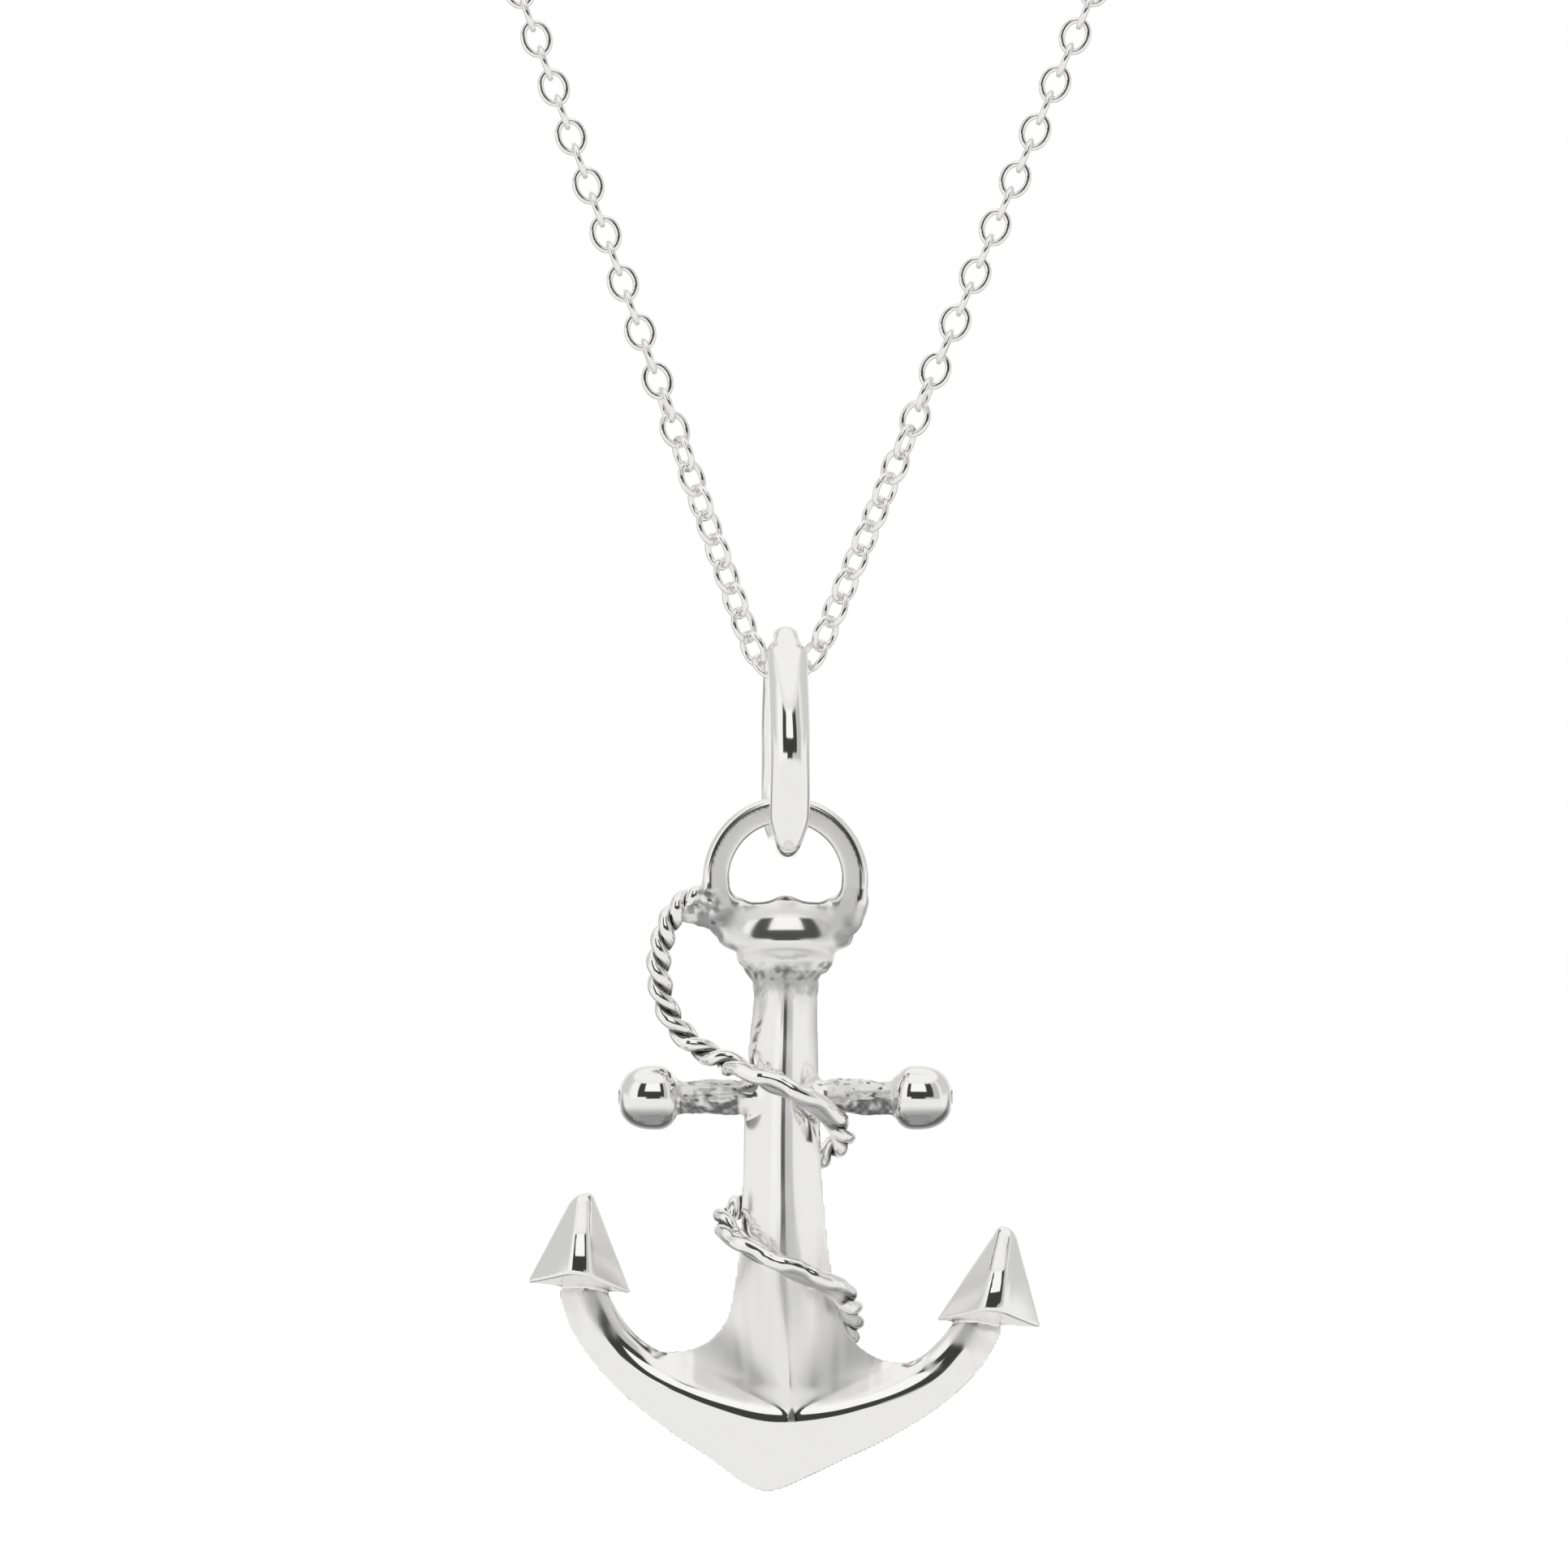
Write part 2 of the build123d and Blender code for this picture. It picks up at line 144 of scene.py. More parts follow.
# How softly the anchor's parts run into each other
HEAD_END_BLEND = 0.4
BOSS_BLEND = 0.2
COLLAR_BLEND = 0.36
RING_BLEND = 0.45
SOLDER_BLEND = 0.35
HEAD_BLEND = 0.3
DROPS_BLEND = 0.3
SHANK_END_BLEND = 0.2
END_BLEND = 0.1
FLUKE_BLEND = 0.14
STOCK_BLEND = 0.35
BEAD_BLEND = 0.12
PIT_BLEND = 0.08

# Middles of the marks in the anchor's surface
ROUGH_COLLAR_Z = -5.95
ROUGH_SIDES_Z = -4.4
ROUGH_WEB = (-3.9, -3.3)
BRIGHT_BOSS_Z = -4.05
BRIGHT_BOSS_HALF_SIZES = (1.95, 0.66)
BRUSHED_RING = (2.7, 2.78, 3.38, 3.46)  # radii where its satin begins and ends
BRUSHED_FLARE_RADIUS = 9.72  # of the lowest satin, above the crest
BRUSHED_FLUKES = (-9.4, 9.8)
DARK_COLLAR_Z = -6.2
DARK_COLLAR_END_Z = -6.0
DARK_WEB = (-3.9, -3.2)
DARK_SIDES_Z = -4.2
DARK_SPOT_Z = -2.55
DARK_CROWN_X = 0.3

# Rope, wound on the same route as the solid's but closer behind the shank
HEAD_FOOT_Z = -6.285
SHANK_LENGTH = 20.48
SHANK_STOCK_DROP = 5.5
STRAND_RADIUS = 0.325
STRAND_OFFSET = 0.275
STRAND_SIDES = 20
STRAND_SWELL = 0.2  # of the strands where they lie nearly straight, in front
STRAND_CLOSER = 0.3
STRAND_UNEVEN = 0.06
GROOVE_REACH = (0.34, 0.58)  # from the rope's middle, where its dark grooves end
STRAND_UNDERSIDE_SHADE = 0.4  # painted shade: how much darker each strand is on its underside
GROOVE_LIGHTER = 0.3  # in front
STRAIGHT_PITCHES = (3, 25)
ROPE_CLEAR = 0.685  # from the shank's surface to the rope's centre
ROPE_SLACK = 0.25
ROPE_TIGHTER_BEHIND = 0.18  # share of the width taken in behind the shank
ROPE_TIGHTER_UNTIL = (380, 420)
ROPE_LOOP_WIDTH = 6.9
ROPE_LOOP_HIGH = 0.16  # shares of its fall where it is widest
ROPE_LOOP_LOW = 0.1
ROPE_LOOP_LEAVES = 0.9  # how straight it leaves the ring, and meets the shank
ROPE_LOOP_LANDS = 2.6
ROPE_LOOP_STEPS = 120
ROPE_START_ANGLE = 190
ROPE_START_GAP = 0.1
ROPE_FROM = -66
ROPE_TO = 486
ROPE_END_INWARD = 0.5  # how far its end lies in against the flare
ROPE_END_ANGLES = (400, 455)
ROPE_END_TAPER = 0.3
# painted shade on the rope's end, where it tucks in against the flare
ROPE_END_SHADE = 0.62
ROPE_END_SHADE_ANGLES = (422, 445)
ROPE_STEP = 0.07
ROPE_FACING = math.radians(28)  # how far up the near strand lies, in front of the shank
ROPE_SWAY = 0.4  # of the twist there, to and fro
ROPE_SWAY_LENGTH = 2.3

# Bail
BAIL_WIRE = 1.27
BAIL_LEG_WIDTH = 1.87
BAIL_YAW = math.radians(4.2)
BAIL_WAIST_Z = 4.05  # where the legs are furthest apart
BAIL_SWELLING = 0.5  # of the legs, from front to back
BAIL_SWELLING_HEIGHT = 1.7
BAIL_TOP_HOLLOW = 0.34  # worn into the inside of its top by the chain
BAIL_HALF_DEPTH = 3.79
BAIL_FOOT_DROP = 0.2  # of the foot, below the solid's
BAIL_HOLLOW_DROPS = (2.6, 1.0)  # below its top, where that begins and is full
BAIL_WIDENS = (0.8, 1.7)  # from its middle plane, where its legs widen
BAIL_FOOT_HEIGHT = 1.8  # in which they narrow to the foot
BAIL_STEP = 0.08
BAIL_SOFTENING = 4  # of its outline, in steps
BAIL_SIDES = 48
BAIL_UPPER_BENDS = [
    # lean reached in degrees, radius of the bend up to there
    (25, 3.7),
    (36, 18),
    (55, 4.6),
    (90, 1.1),
]
BAIL_LOWER_BENDS = [
    (31, 8.2),
    (90, 1.5),
]

# Chain links
LINK_LENGTH = 1.85
LINK_WIDTH = 1.5
LINK_WIRE = 0.32
LINK_PITCH = 1.2
LINK_SIDES = 10
LINK_STEPS = 20
TWIST_DEPTHS = (-24.0, -14.5)  # between which the links turn by 45 degrees
CHAIN_LEFT_END = 3.815  # from the loop's top to the middle of its last links
CHAIN_RIGHT_END = 4.585
JUMP_RING_X = 2.5
JUMP_RING_DIAMETER = 2.3
JUMP_RING_WIRE = 0.4
CLASP_EYE_DIAMETER = 2.2
CLASP_EYE_WIRE = 0.5

# Grid of the cast anchor, and how its surface is found in it
CELL = 0.1
GRID_LOW = (-12.4, -2.1, -31.0)
GRID_HIGH = (12.4, 2.1, 2.6)
SLAB_LAYERS = 48
SURFACE_STEPS = 4
LONGEST_STEP = 0.6  # as a share of a cell
SLOPE_STEP = 0.02
HOLLOW_REACHES = (0.2, 0.45)  # how far out hollows are felt
TINY = 1e-9  # keeps zeros out of roots and divisions

# Silver
SILVER_COLOUR = (0.96, 0.955, 0.945, 1)
# the dark colour stands both for tarnish in hollows and for painted shade
TARNISH_AND_SHADE_COLOUR = (0.17, 0.17, 0.175, 1)
TARNISH_AND_SHADE_SHARES = (0.35, 0.95)  # of the tarnish-and-shade value, where it begins and is full
BRUSHED_ROUGHNESS = 0.46
BRUSHED_METALLIC = 0.65


def bell_weights(reach, step, spread):
    weights = np.exp(-0.5 * (np.arange(-reach, reach + 1) * step / spread) ** 2)
    return weights / weights.sum()


def smooth_curve(rows, low, high, spread):
    """Softened lines through a table's columns, as a function that works on arrays."""
    at = np.linspace(low, high, 600)
    step = at[1] - at[0]
    reach = int(3 * spread / step) + 1
    weights = bell_weights(reach, step, spread)
    first, *columns = zip(*rows)
    curves = []
    for column in columns:
        padded = np.pad(np.interp(at, first, column), reach, mode="edge")
        curves.append(np.convolve(padded, weights, mode="valid"))

    def values(x):
        return [np.interp(x, at, curve) for curve in curves]

    return values


HEAD_TABLE = [
    # z, half width, half depth
    (-7.2, 1.3, 0.95),
    (-6.7, 1.38, 1.1),
    (-6.3, 1.52, 1.22),
    (-5.8, 1.86, 1.32),
    (-5.3, 2.02, 1.36),
    (-4.85, 2.3, 1.32),
    (-4.5, 2.85, 1.28),
    (-4.1, 3.28, 1.2),
    (-3.3, 3.55, 1),
    (-2.5, 3.66, 0.86),
    (-1.9, 3.7, 0.82),
]

SHANK_TABLE = [
    # z, left edge, right edge, half depth
    (-26.9, -3.3, 3.4, 1.35),
    (-26, -3.3, 3.4, 1.24),
    (-25, -3.3, 3.4, 1.27),
    (-24.2, -3.25, 3.3, 1.35),
    (-23.5, -3.05, 3, 1.42),
    (-22.6, -2.78, 2.7, 1.46),
    (-21.4, -2.5, 2.43, 1.48),
    (-19.5, -2.2, 2.08, 1.48),
    (-18, -2.08, 1.9, 1.47),
    (-15.5, -1.98, 1.68, 1.46),
    (-13, -1.92, 1.6, 1.45),
    (-11, -1.84, 1.54, 1.44),
    (-9, -1.66, 1.5, 1.43),
    (-7.5, -1.49, 1.49, 1.42),
    (-6, -1.42, 1.48, 1.41),
]

ARM_TABLE = [
    # angle, inner radius, crest radius, outer radius, crest height
    (-66, 9.3, 9.45, 11.4, 0.62),
    (-60, 9.38, 9.7, 11.62, 0.72),
    (-54, 9.46, 10.15, 11.76, 0.84),
    (-45, 9.5, 10.42, 11.8, 0.96),
    (-36, 9.28, 10.38, 11.82, 1.05),
    (-30, 8.72, 10.3, 11.88, 1.11),
    (-23, 8.25, 10.2, 12.05, 1.17),
    (-17, 8, 10.14, 12.22, 1.22),
    (-11, 7.9, 10.1, 12.58, 1.26),
    (-6, 7.9, 10.08, 13.08, 1.28),
    (0, 7.9, 10.08, 13.74, 1.3),
    (6, 7.9, 10.08, 13.08, 1.28),
    (10, 7.9, 10.1, 12.72, 1.26),
    (17, 7.95, 10.14, 12.22, 1.22),
    (27, 8.25, 10.22, 11.92, 1.15),
    (32, 8.65, 10.32, 11.84, 1.1),
    (38, 9.12, 10.4, 11.8, 1.04),
    (45, 9.48, 10.42, 11.8, 0.96),
    (54, 9.46, 10.15, 11.76, 0.84),
    (60, 9.38, 9.7, 11.62, 0.72),
    (66, 9.3, 9.45, 11.4, 0.62),
]

FLUKE_TABLE = [
    # height, half width, half depth
    (-5.6, 2.8, 1.88),
    (-4.93, 2.48, 1.88),
    (-3.9, 2.02, 1.84),
    (-3.4, 1.79, 1.78),
    (-2.9, 1.57, 1.64),
    (-2.4, 1.34, 1.43),
    (-0.9, 0.66, 0.59),
    (0, 0.32, 0.09),
]
FLUKE_SIDES = [
    # side, middle of the base, middle of the tip, height of the tip
    (-1, 9.36, 9.52, -0.52),
    (1, 9.64, 10.08, -0.38),
]

head_curve = smooth_curve(HEAD_TABLE, -7.2, -1.9, 0.12)
shank_curve = smooth_curve(SHANK_TABLE, -26.9, -6.0, 0.35)
arm_curve = smooth_curve(ARM_TABLE, -66, 66, 2.6)
fluke_curve = smooth_curve(FLUKE_TABLE, -5.6, 0, 0.12)


def smooth_min(a, b, reach):
    share = np.clip(0.5 + 0.5 * (b - a) / reach, 0, 1)
    return b + (a - b) * share - reach * share * (1 - share)


def smooth_max(a, b, reach):
    return -smooth_min(-a, -b, reach)


def ellipsoid(x, y, z, half_x, half_y, half_z):
    near = np.sqrt((x / half_x) ** 2 + (y / half_y) ** 2 + (z / half_z) ** 2)
    slope = np.sqrt((x / half_x ** 2) ** 2 + (y / half_y ** 2) ** 2 + (z / half_z ** 2) ** 2)
    return near * (near - 1) / np.maximum(slope, 1e-6)


def capsule(x, y, z, start, end, radius):
    direction = np.subtract(end, start)
    offsets = (x - start[0], y - start[1], z - start[2])
    along = sum(offset * part for offset, part in zip(offsets, direction))
    share = np.clip(along / (direction @ direction), 0, 1)
    dx, dy, dz = (offset - share * part for offset, part in zip(offsets, direction))
    return np.sqrt(dx * dx + dy * dy + dz * dz) - radius


def waves(x, y, z, wavelength, seed, count=14):
    """Smooth lumps between about -1 and 1, made of waves in seeded directions."""
    random = np.random.default_rng(seed)
    total = np.zeros_like(x)
    for _ in range(count):
        direction = random.normal(size=3)
        direction = direction / np.linalg.norm(direction)
        turn = 2 * math.pi / (wavelength * random.uniform(0.6, 1.5))
        phase = random.uniform(0, 2 * math.pi)
        total += np.sin((x * direction[0] + y * direction[1] + z * direction[2]) * turn + phase)
    return total / math.sqrt(count)


def lift(value, low, high):
    """0 below low, 1 above high, and smooth between."""
    share = np.clip((value - low) / (high - low), 0, 1)
    return share * share * (3 - 2 * share)


def fade(distance, full, none):
    """1 up to the full distance, 0 past the other, and smooth between."""
    return lift(-np.abs(distance), -none, -full)


def unit(vectors):
    return vectors / np.maximum(np.linalg.norm(vectors, axis=1, keepdims=True), TINY)


def ring_shape(x, y, z):
    off = np.hypot(x, z - RING_Z) - RING_MIDDLE_RADIUS
    swell = RING_SWELL * (off / RING_HALF_BAND) ** 2
    across = np.abs(off) - (RING_HALF_BAND - RING_ROUNDING)
    depth = np.abs(y) + swell - (RING_HALF_THICKNESS - RING_ROUNDING)
    outside = np.hypot(np.maximum(across, 0), np.maximum(depth, 0))
    return outside + np.minimum(np.maximum(across, depth), 0) - RING_ROUNDING


def hole_shape(x, z):
    """The ring's opening, seen from the front, with its bow-shaped lower edge."""
    circle = np.hypot(x, z - RING_Z) - HOLE_RADIUS
    hump = HOLE_HUMP * np.exp(-((x / HOLE_HUMP_WIDTH) ** 2))
    ends = HOLE_END_RISE * lift(np.abs(x), 1.5, 2.6)
    floor = (HOLE_FLOOR_Z + hump + ends - z) * HOLE_FLOOR_SCALE
    return smooth_max(circle, floor, HOLE_CORNER)


def head_shape(x, y, z):
    half_width, half_depth = head_curve(z)
    near = (np.abs(x) / half_width) ** HEAD_POWER + (np.abs(y) / half_depth) ** HEAD_POWER
    near = (near + TINY) ** (1 / HEAD_POWER)
    sides = (near - 1) * np.minimum(half_width, half_depth) * HEAD_SCALE
    ends = np.maximum(z - HEAD_TOP_Z, HEAD_BOTTOM_Z - z)
    body = smooth_max(sides, ends, HEAD_END_BLEND)
    above = np.maximum(z - BOSS_Z, 0)
    below = np.minimum(z - BOSS_Z, 0)
    height = above + below * BOSS_HALF_SIZES[2] / BOSS_HEIGHT_BELOW
    boss = ellipsoid(x - BOSS_X, y, height, *BOSS_HALF_SIZES)
    collar = ellipsoid(x - COLLAR_X, y, z - COLLAR_Z, *COLLAR_HALF_SIZES)
    return smooth_min(smooth_min(body, boss, BOSS_BLEND), collar, COLLAR_BLEND)


def shank_shape(x, y, z):
    """Bar of rounded diamond section, with a narrow rounded ridge down its front."""
    left, right, half_depth = shank_curve(z)
    ridge = RIDGE_RIGHT * lift(-z, *RIDGE_RIGHT_DEPTHS) - RIDGE_LEFT * lift(-z, *RIDGE_LEFT_DEPTHS)
    off = x - ridge
    half_width = np.where(off < 0, ridge - left, right - ridge)
    power = SHANK_ROUNDNESS - (SHANK_ROUNDNESS - FLARE_ROUNDNESS) * lift(-z, *FLARE_DEPTHS)
    rounding = RIDGE_ROUNDING - RIDGE_SHARPER * lift(-z, *RIDGE_SHARPER_DEPTHS)
    aside = np.hypot(off, rounding) - rounding
    reach = np.hypot(half_width, rounding) - rounding
    near = ((aside / reach) ** power + (np.abs(y) / half_depth) ** power + TINY) ** (1 / power)
    sides = (near - 1) * half_width * half_depth / np.hypot(half_width, half_depth)
    ends = np.maximum(z - SHANK_TOP_Z, SHANK_FOOT_Z - z)
    return smooth_max(sides, ends, SHANK_END_BLEND)


def arm_place(x, z):
    """Place in the arms' own frame, and its angle and distance from their centre."""
    dx = x - ARM_CENTRE_X
    dz = z - ARM_CENTRE_Z
    across = dx * math.cos(ARM_TILT) - dz * math.sin(ARM_TILT)
    up = dx * math.sin(ARM_TILT) + dz * math.cos(ARM_TILT)
    return across, up, np.degrees(np.arctan2(across, -up)), np.hypot(across, up)


def arms_and_shank(x, y, z):
    """The shank runs down into the arms' upper faces, and the lower faces cut both."""
    across, up, angle, radius = arm_place(x, z)
    inner, crest, outer, height = arm_curve(angle)
    depth = np.sqrt(y * y + ARM_EDGE ** 2) - ARM_EDGE
    upper_run = crest - inner
    upper = ((inner - radius) * height + depth * upper_run) / np.hypot(upper_run, height)
    lower_run = outer - crest
    lower = ((radius - outer) * height + depth * lower_run) / np.hypot(lower_run, height)
    upper = smooth_max(upper, up - FLUKE_BASE_Z - FLUKE_ROOT, END_BLEND)
    growth = (1 - FILLET_AT_CREST) * lift(crest - radius, *FILLET_HEIGHTS)
    fillet = SHANK_FILLET * (FILLET_AT_CREST + growth)
    above = smooth_min(shank_shape(x, y, z), upper, fillet)
    lower = lower - 4 * lift(up, -4, 0)  # nothing is cut above the flukes' bases
    rounding = CREST_ROUNDING * (1 + lift(np.abs(angle), *CREST_WIDENS))
    body = smooth_max(above, lower, rounding)
    return smooth_min(body, fluke_shape(y, across, up), FLUKE_BLEND)


def fluke_shape(y, across, up):
    """Blunt pyramid with a narrow facet down its front, and a base that rises to it."""
    half_width, half_depth = fluke_curve(up)
    facet = FLUKE_FACET + FLUKE_FACET_WIDENS * (-up)
    beside = np.maximum(half_width - facet, 0.05)
    slant = np.hypot(half_depth, beside)
    shape = None
    for side, base_middle, tip_middle, tip_height in FLUKE_SIDES:
        share = (up - FLUKE_BASE_Z) / (tip_height - FLUKE_BASE_Z)
        off = across * side - base_middle - (tip_middle - base_middle) * share
        faces = ((np.abs(off) - facet) * half_depth + (np.abs(y) - half_depth) * beside) / slant
        front = (np.abs(y) - half_depth + FLUKE_FACET_SWELL * off * off) * FLUKE_FACET_SCALE
        body = smooth_max(faces, front, FLUKE_FACET_BLEND)
        edges = np.abs(off) - half_width + FLUKE_EDGE
        body = smooth_max(body, edges, FLUKE_ROUNDING)
        base = FLUKE_BASE_Z + FLUKE_BASE_RISE * np.abs(y) + FLUKE_BASE_LEAN * off - up
        body = smooth_max(body, base, FLUKE_ROUNDING)
        body = smooth_max(body, up - tip_height + FLUKE_TIP_LEAN * off, FLUKE_TIP_ROUNDING)
        shape = body if shape is None else np.minimum(shape, body)
    return shape


def stock_shape(x, y, z):
    from_axis = np.hypot(y, z - STOCK_Z)
    off = np.abs(x) - BEAD_X
    bar = smooth_max(from_axis - STOCK_RADIUS, off, END_BLEND)
    outer_half = BEAD_HALF_WIDTH + np.where(off > -BEAD_LEAN, BEAD_LEAN, -BEAD_LEAN)
    length_power, width_power = BEAD_POWERS
    near = (np.abs(off + BEAD_LEAN) / outer_half) ** length_power
    near = near + (from_axis / BEAD_RADIUS) ** width_power
    near = (near + TINY) ** (2 / (length_power + width_power))
    bead = (near - 1) * BEAD_HALF_WIDTH
    pit = ellipsoid(off - BEAD_HALF_WIDTH, y - PIT_Y, z - STOCK_Z - PIT_RISE, *PIT_HALF_SIZES)
    bead = smooth_max(bead, -pit, PIT_BLEND)
    return smooth_min(bar, bead, BEAD_BLEND)


SOLDER = [
    # start, end and radius of its two drops
    ((-2.9, -0.1, -3.75), (-4.35, -0.1, -3.3), 0.46),
    ((-3.55, -0.1, -2.35), (-4.1, -0.1, -3.1), 0.5),
]


def solder_shape(x, y, z):
    """Web that joins the rope's root to the ring and the head, at the left."""
    web, knot = (capsule(x, y, z, *drop) for drop in SOLDER)
    return smooth_min(web, knot, DROPS_BLEND)


def cast_shape(x, y, z):
    """Signed distance to the anchor before its small marks."""
    head = smooth_min(ring_shape(x, y, z), head_shape(x, y, z), RING_BLEND)
    head = smooth_max(head, -hole_shape(x, z), HOLE_ROUNDING)
    head = smooth_min(head, solder_shape(x, y, z), SOLDER_BLEND)
    body = smooth_min(arms_and_shank(x, y, z), stock_shape(x, y, z), STOCK_BLEND)
    return smooth_min(body, head, HEAD_BLEND)


# Marks on the anchor. After each measure stand the two values of it, in millimetres or
# degrees, between which the mark fades in or out.


def roughness_share(x, z):
    """Where the casting was left rough: the stock's bar, the collar and the web."""
    aside = np.abs(x)
    bar = fade(z - STOCK_Z, 0.9, 1.2) * lift(aside, 1.7, 2.1) * fade(x, 4.85, 5.3)
    collar = fade(z - ROUGH_COLLAR_Z, 0.3, 0.85)
    sides = fade(z - ROUGH_SIDES_Z, 0.3, 0.9) * lift(aside, 2.3, 2.9)
    web = fade(np.hypot(x - ROUGH_WEB[0], z - ROUGH_WEB[1]), 0.7, 1.5)
    return np.clip(bar + 0.8 * collar + 0.7 * sides + web, 0, 1)


def satin_share(x, y, z):
    """Where the surface is brushed: ring, head, sockets of the flukes and the flare."""
    half_width, half_height = BRIGHT_BOSS_HALF_SIZES
    boss = fade(np.hypot(x / half_width, (z - BRIGHT_BOSS_Z) / half_height), 0.9, 1.2)
    brushed = 0.5 * waves(x, 0.3 * y, 0.06 * z, 0.8, seed=13)
    head = lift(z + brushed, -8.2, -6.2) * (1 - boss)
    from_ring = np.hypot(x, z - RING_Z)
    edges = (1 - lift(from_ring, *BRUSHED_RING[:2]), lift(from_ring, *BRUSHED_RING[2:]))
    edge = np.maximum(*edges) * lift(z, -3.6, -2.6)
    across, up, angle, radius = arm_place(x, z)
    socket = 0.8 * lift(np.abs(angle) + 6 * waves(x, y, z, 1.2, seed=38), 46, 62)
    socket = socket * lift(-up, 4.8, 5.1)
    left, right = BRUSHED_FLUKES
    inner = np.where(across < 0, across - left, right - across)
    fluke = 0.5 * lift(up, -5.0, -4.8) * lift(-up, -0.8, -0.4)
    fluke = fluke * lift(inner, 0.35, 0.5) * lift(-inner, -3.2, -3.0)
    bar = 0.12 * fade(x, 2.6, 3) * lift(z, -22, -20)
    flare = (0.8 + 0.3 * brushed) * lift(-z + 2 * brushed, 17, 23)
    flare = flare * lift(BRUSHED_FLARE_RADIUS - radius, 0, 0.4)
    flare = flare * lift(brushed - np.abs(x), -5.6, -3.4)
    return np.clip(head * (1 - edge) + socket + fluke + flare + bar, 0, 1)


def stain_and_shade_share(points, normals):
    """Where the surface is made darker: tarnish on rough skin, in hollows and pits, painted shade
    on the undersides, and darker patches on the head's sides.
    """
    x, y, z = points.T
    aside = np.abs(x)
    down = -normals[:, 2]
    from_stock = z - STOCK_Z
    skin = roughness_share(x, z)
    speckle = waves(x, y, z, 0.36, seed=32)
    uneven = 0.3 * waves(x, y, z, 1.2, seed=37)

    # painted shade: the stock's bar is made darker on its underside, broken by speckles
    below = lift(down + 0.1 * waves(x, y, z, 1.0, seed=34), -0.1, 0.25)
    bar_underside_painted_shade = fade(from_stock, 0.9, 1.2) * lift(aside, 1.9, 2.3) * below
    bar_underside_painted_shade = bar_underside_painted_shade * np.clip(0.82 + 0.16 * speckle, 0, 1)
    bar_underside_painted_shade = np.where(aside > 4.9, 0, bar_underside_painted_shade)
    # painted shade: the beads are made darker on their undersides
    bead_underside_painted_shade = lift(aside, 4.8, 5.0) * fade(from_stock, 2.0, 2.2) * lift(down, -0.1, 0.55)
    pits = skin * lift(aside, 1.9, 2.3) * lift(waves(x, y, z, 0.45, seed=33), 0.95, 1.4)

    collar = fade(z - DARK_COLLAR_Z, 0.15, 0.5) * np.clip(0.64 + 0.12 * speckle, 0, 1)
    collar_ends = lift(aside, 1.1, 1.7) * fade(z - DARK_COLLAR_END_Z, 0.3, 0.7)
    collar_ends = collar_ends * lift(waves(x, y, z, 0.6, seed=35), -1.2, 0.3)
    skirt = lift(z + 0.2 * speckle, -8.0, -6.6) * lift(-z, 5.7, 6.1)
    web = fade(np.hypot(x - DARK_WEB[0], z - DARK_WEB[1]), 0.8, 1.4)
    web = web * lift(waves(x, y, z, 0.6, seed=36), -0.7, 0.5)
    sides = lift(aside + uneven, 1.5, 3.0)
    sides = sides * lift(uneven - np.abs(z - DARK_SIDES_Z), -1.8, -0.2)
    rim = fade(hole_shape(x, z) - 0.04, 0.05, 0.1) * lift(-z, 0.9, 2.0)
    spot = fade(np.hypot(x, z - DARK_SPOT_Z), 0.12, 0.24)

    _, _, angle, radius = arm_place(x, z)
    below_crest = radius - arm_curve(angle)[1]
    beside = np.abs(x - DARK_CROWN_X) + 0.35 * np.maximum(-below_crest, 0)
    crown = fade(beside, 0.2, 0.34) * lift(below_crest, -0.9, -0.3)
    crown = crown * lift(-below_crest, -0.22, -0.06) * lift(-z, 20, 21)
    marks = [
        # how dark it is, where
        (1, bar_underside_painted_shade),
        (0.75, bead_underside_painted_shade),
        (0.62, skin * lift(waves(x, y, z, 0.8, seed=31), 0.0, 0.9)),
        (1, pits),
        (1, collar),
        (0.74, collar_ends),
        (0.62, skirt),
        (0.74, web),
        (0.72, sides),
        (0.85, rim),
        (0.9, spot),
        (0.95, crown),
    ]
    return np.max([dark * where for dark, where in marks], axis=0)


def marked_shape(x, y, z):
    """Signed distance to the anchor with its cast lumps, pits and hammer marks."""
    lumps = 0.06 * waves(x, y, z, 1.3, seed=3) + 0.022 * waves(x, y, z, 0.5, seed=5)
    soft = 0.004 * waves(x, y, z, 2.6, seed=8)
    flare = lift(-z, 16, 20) * lift(z, -24.6, -22.8) * fade(x, 2.6, 4)
    streaks = 0.008 * waves(x, 0.3 * y, 0.06 * z, 0.8, seed=11)
    return cast_shape(x, y, z) + roughness_share(x, z) * lumps + soft + flare * streaks


def slope_of(shape, points):
    columns = []
    for step in SLOPE_STEP * np.eye(3):
        rise = shape(*(points + step).T) - shape(*(points - step).T)
        columns.append(rise / (2 * SLOPE_STEP))
    return np.stack(columns, axis=1)


def grid_values(shape, low, counts, cell):
    """The shape's value at every point of a grid, worked out in thin slabs."""
    values = np.empty(counts, dtype=np.float32)
    x, y, z = (start + cell * np.arange(count) for start, count in zip(low, counts))
    for start in range(0, counts[2], SLAB_LAYERS):
        slab = slice(start, start + SLAB_LAYERS)
        full = np.meshgrid(x, y, z[slab], indexing="ij")
        values[:, :, slab] = shape(*(part.ravel() for part in full)).reshape(full[0].shape)
    return values


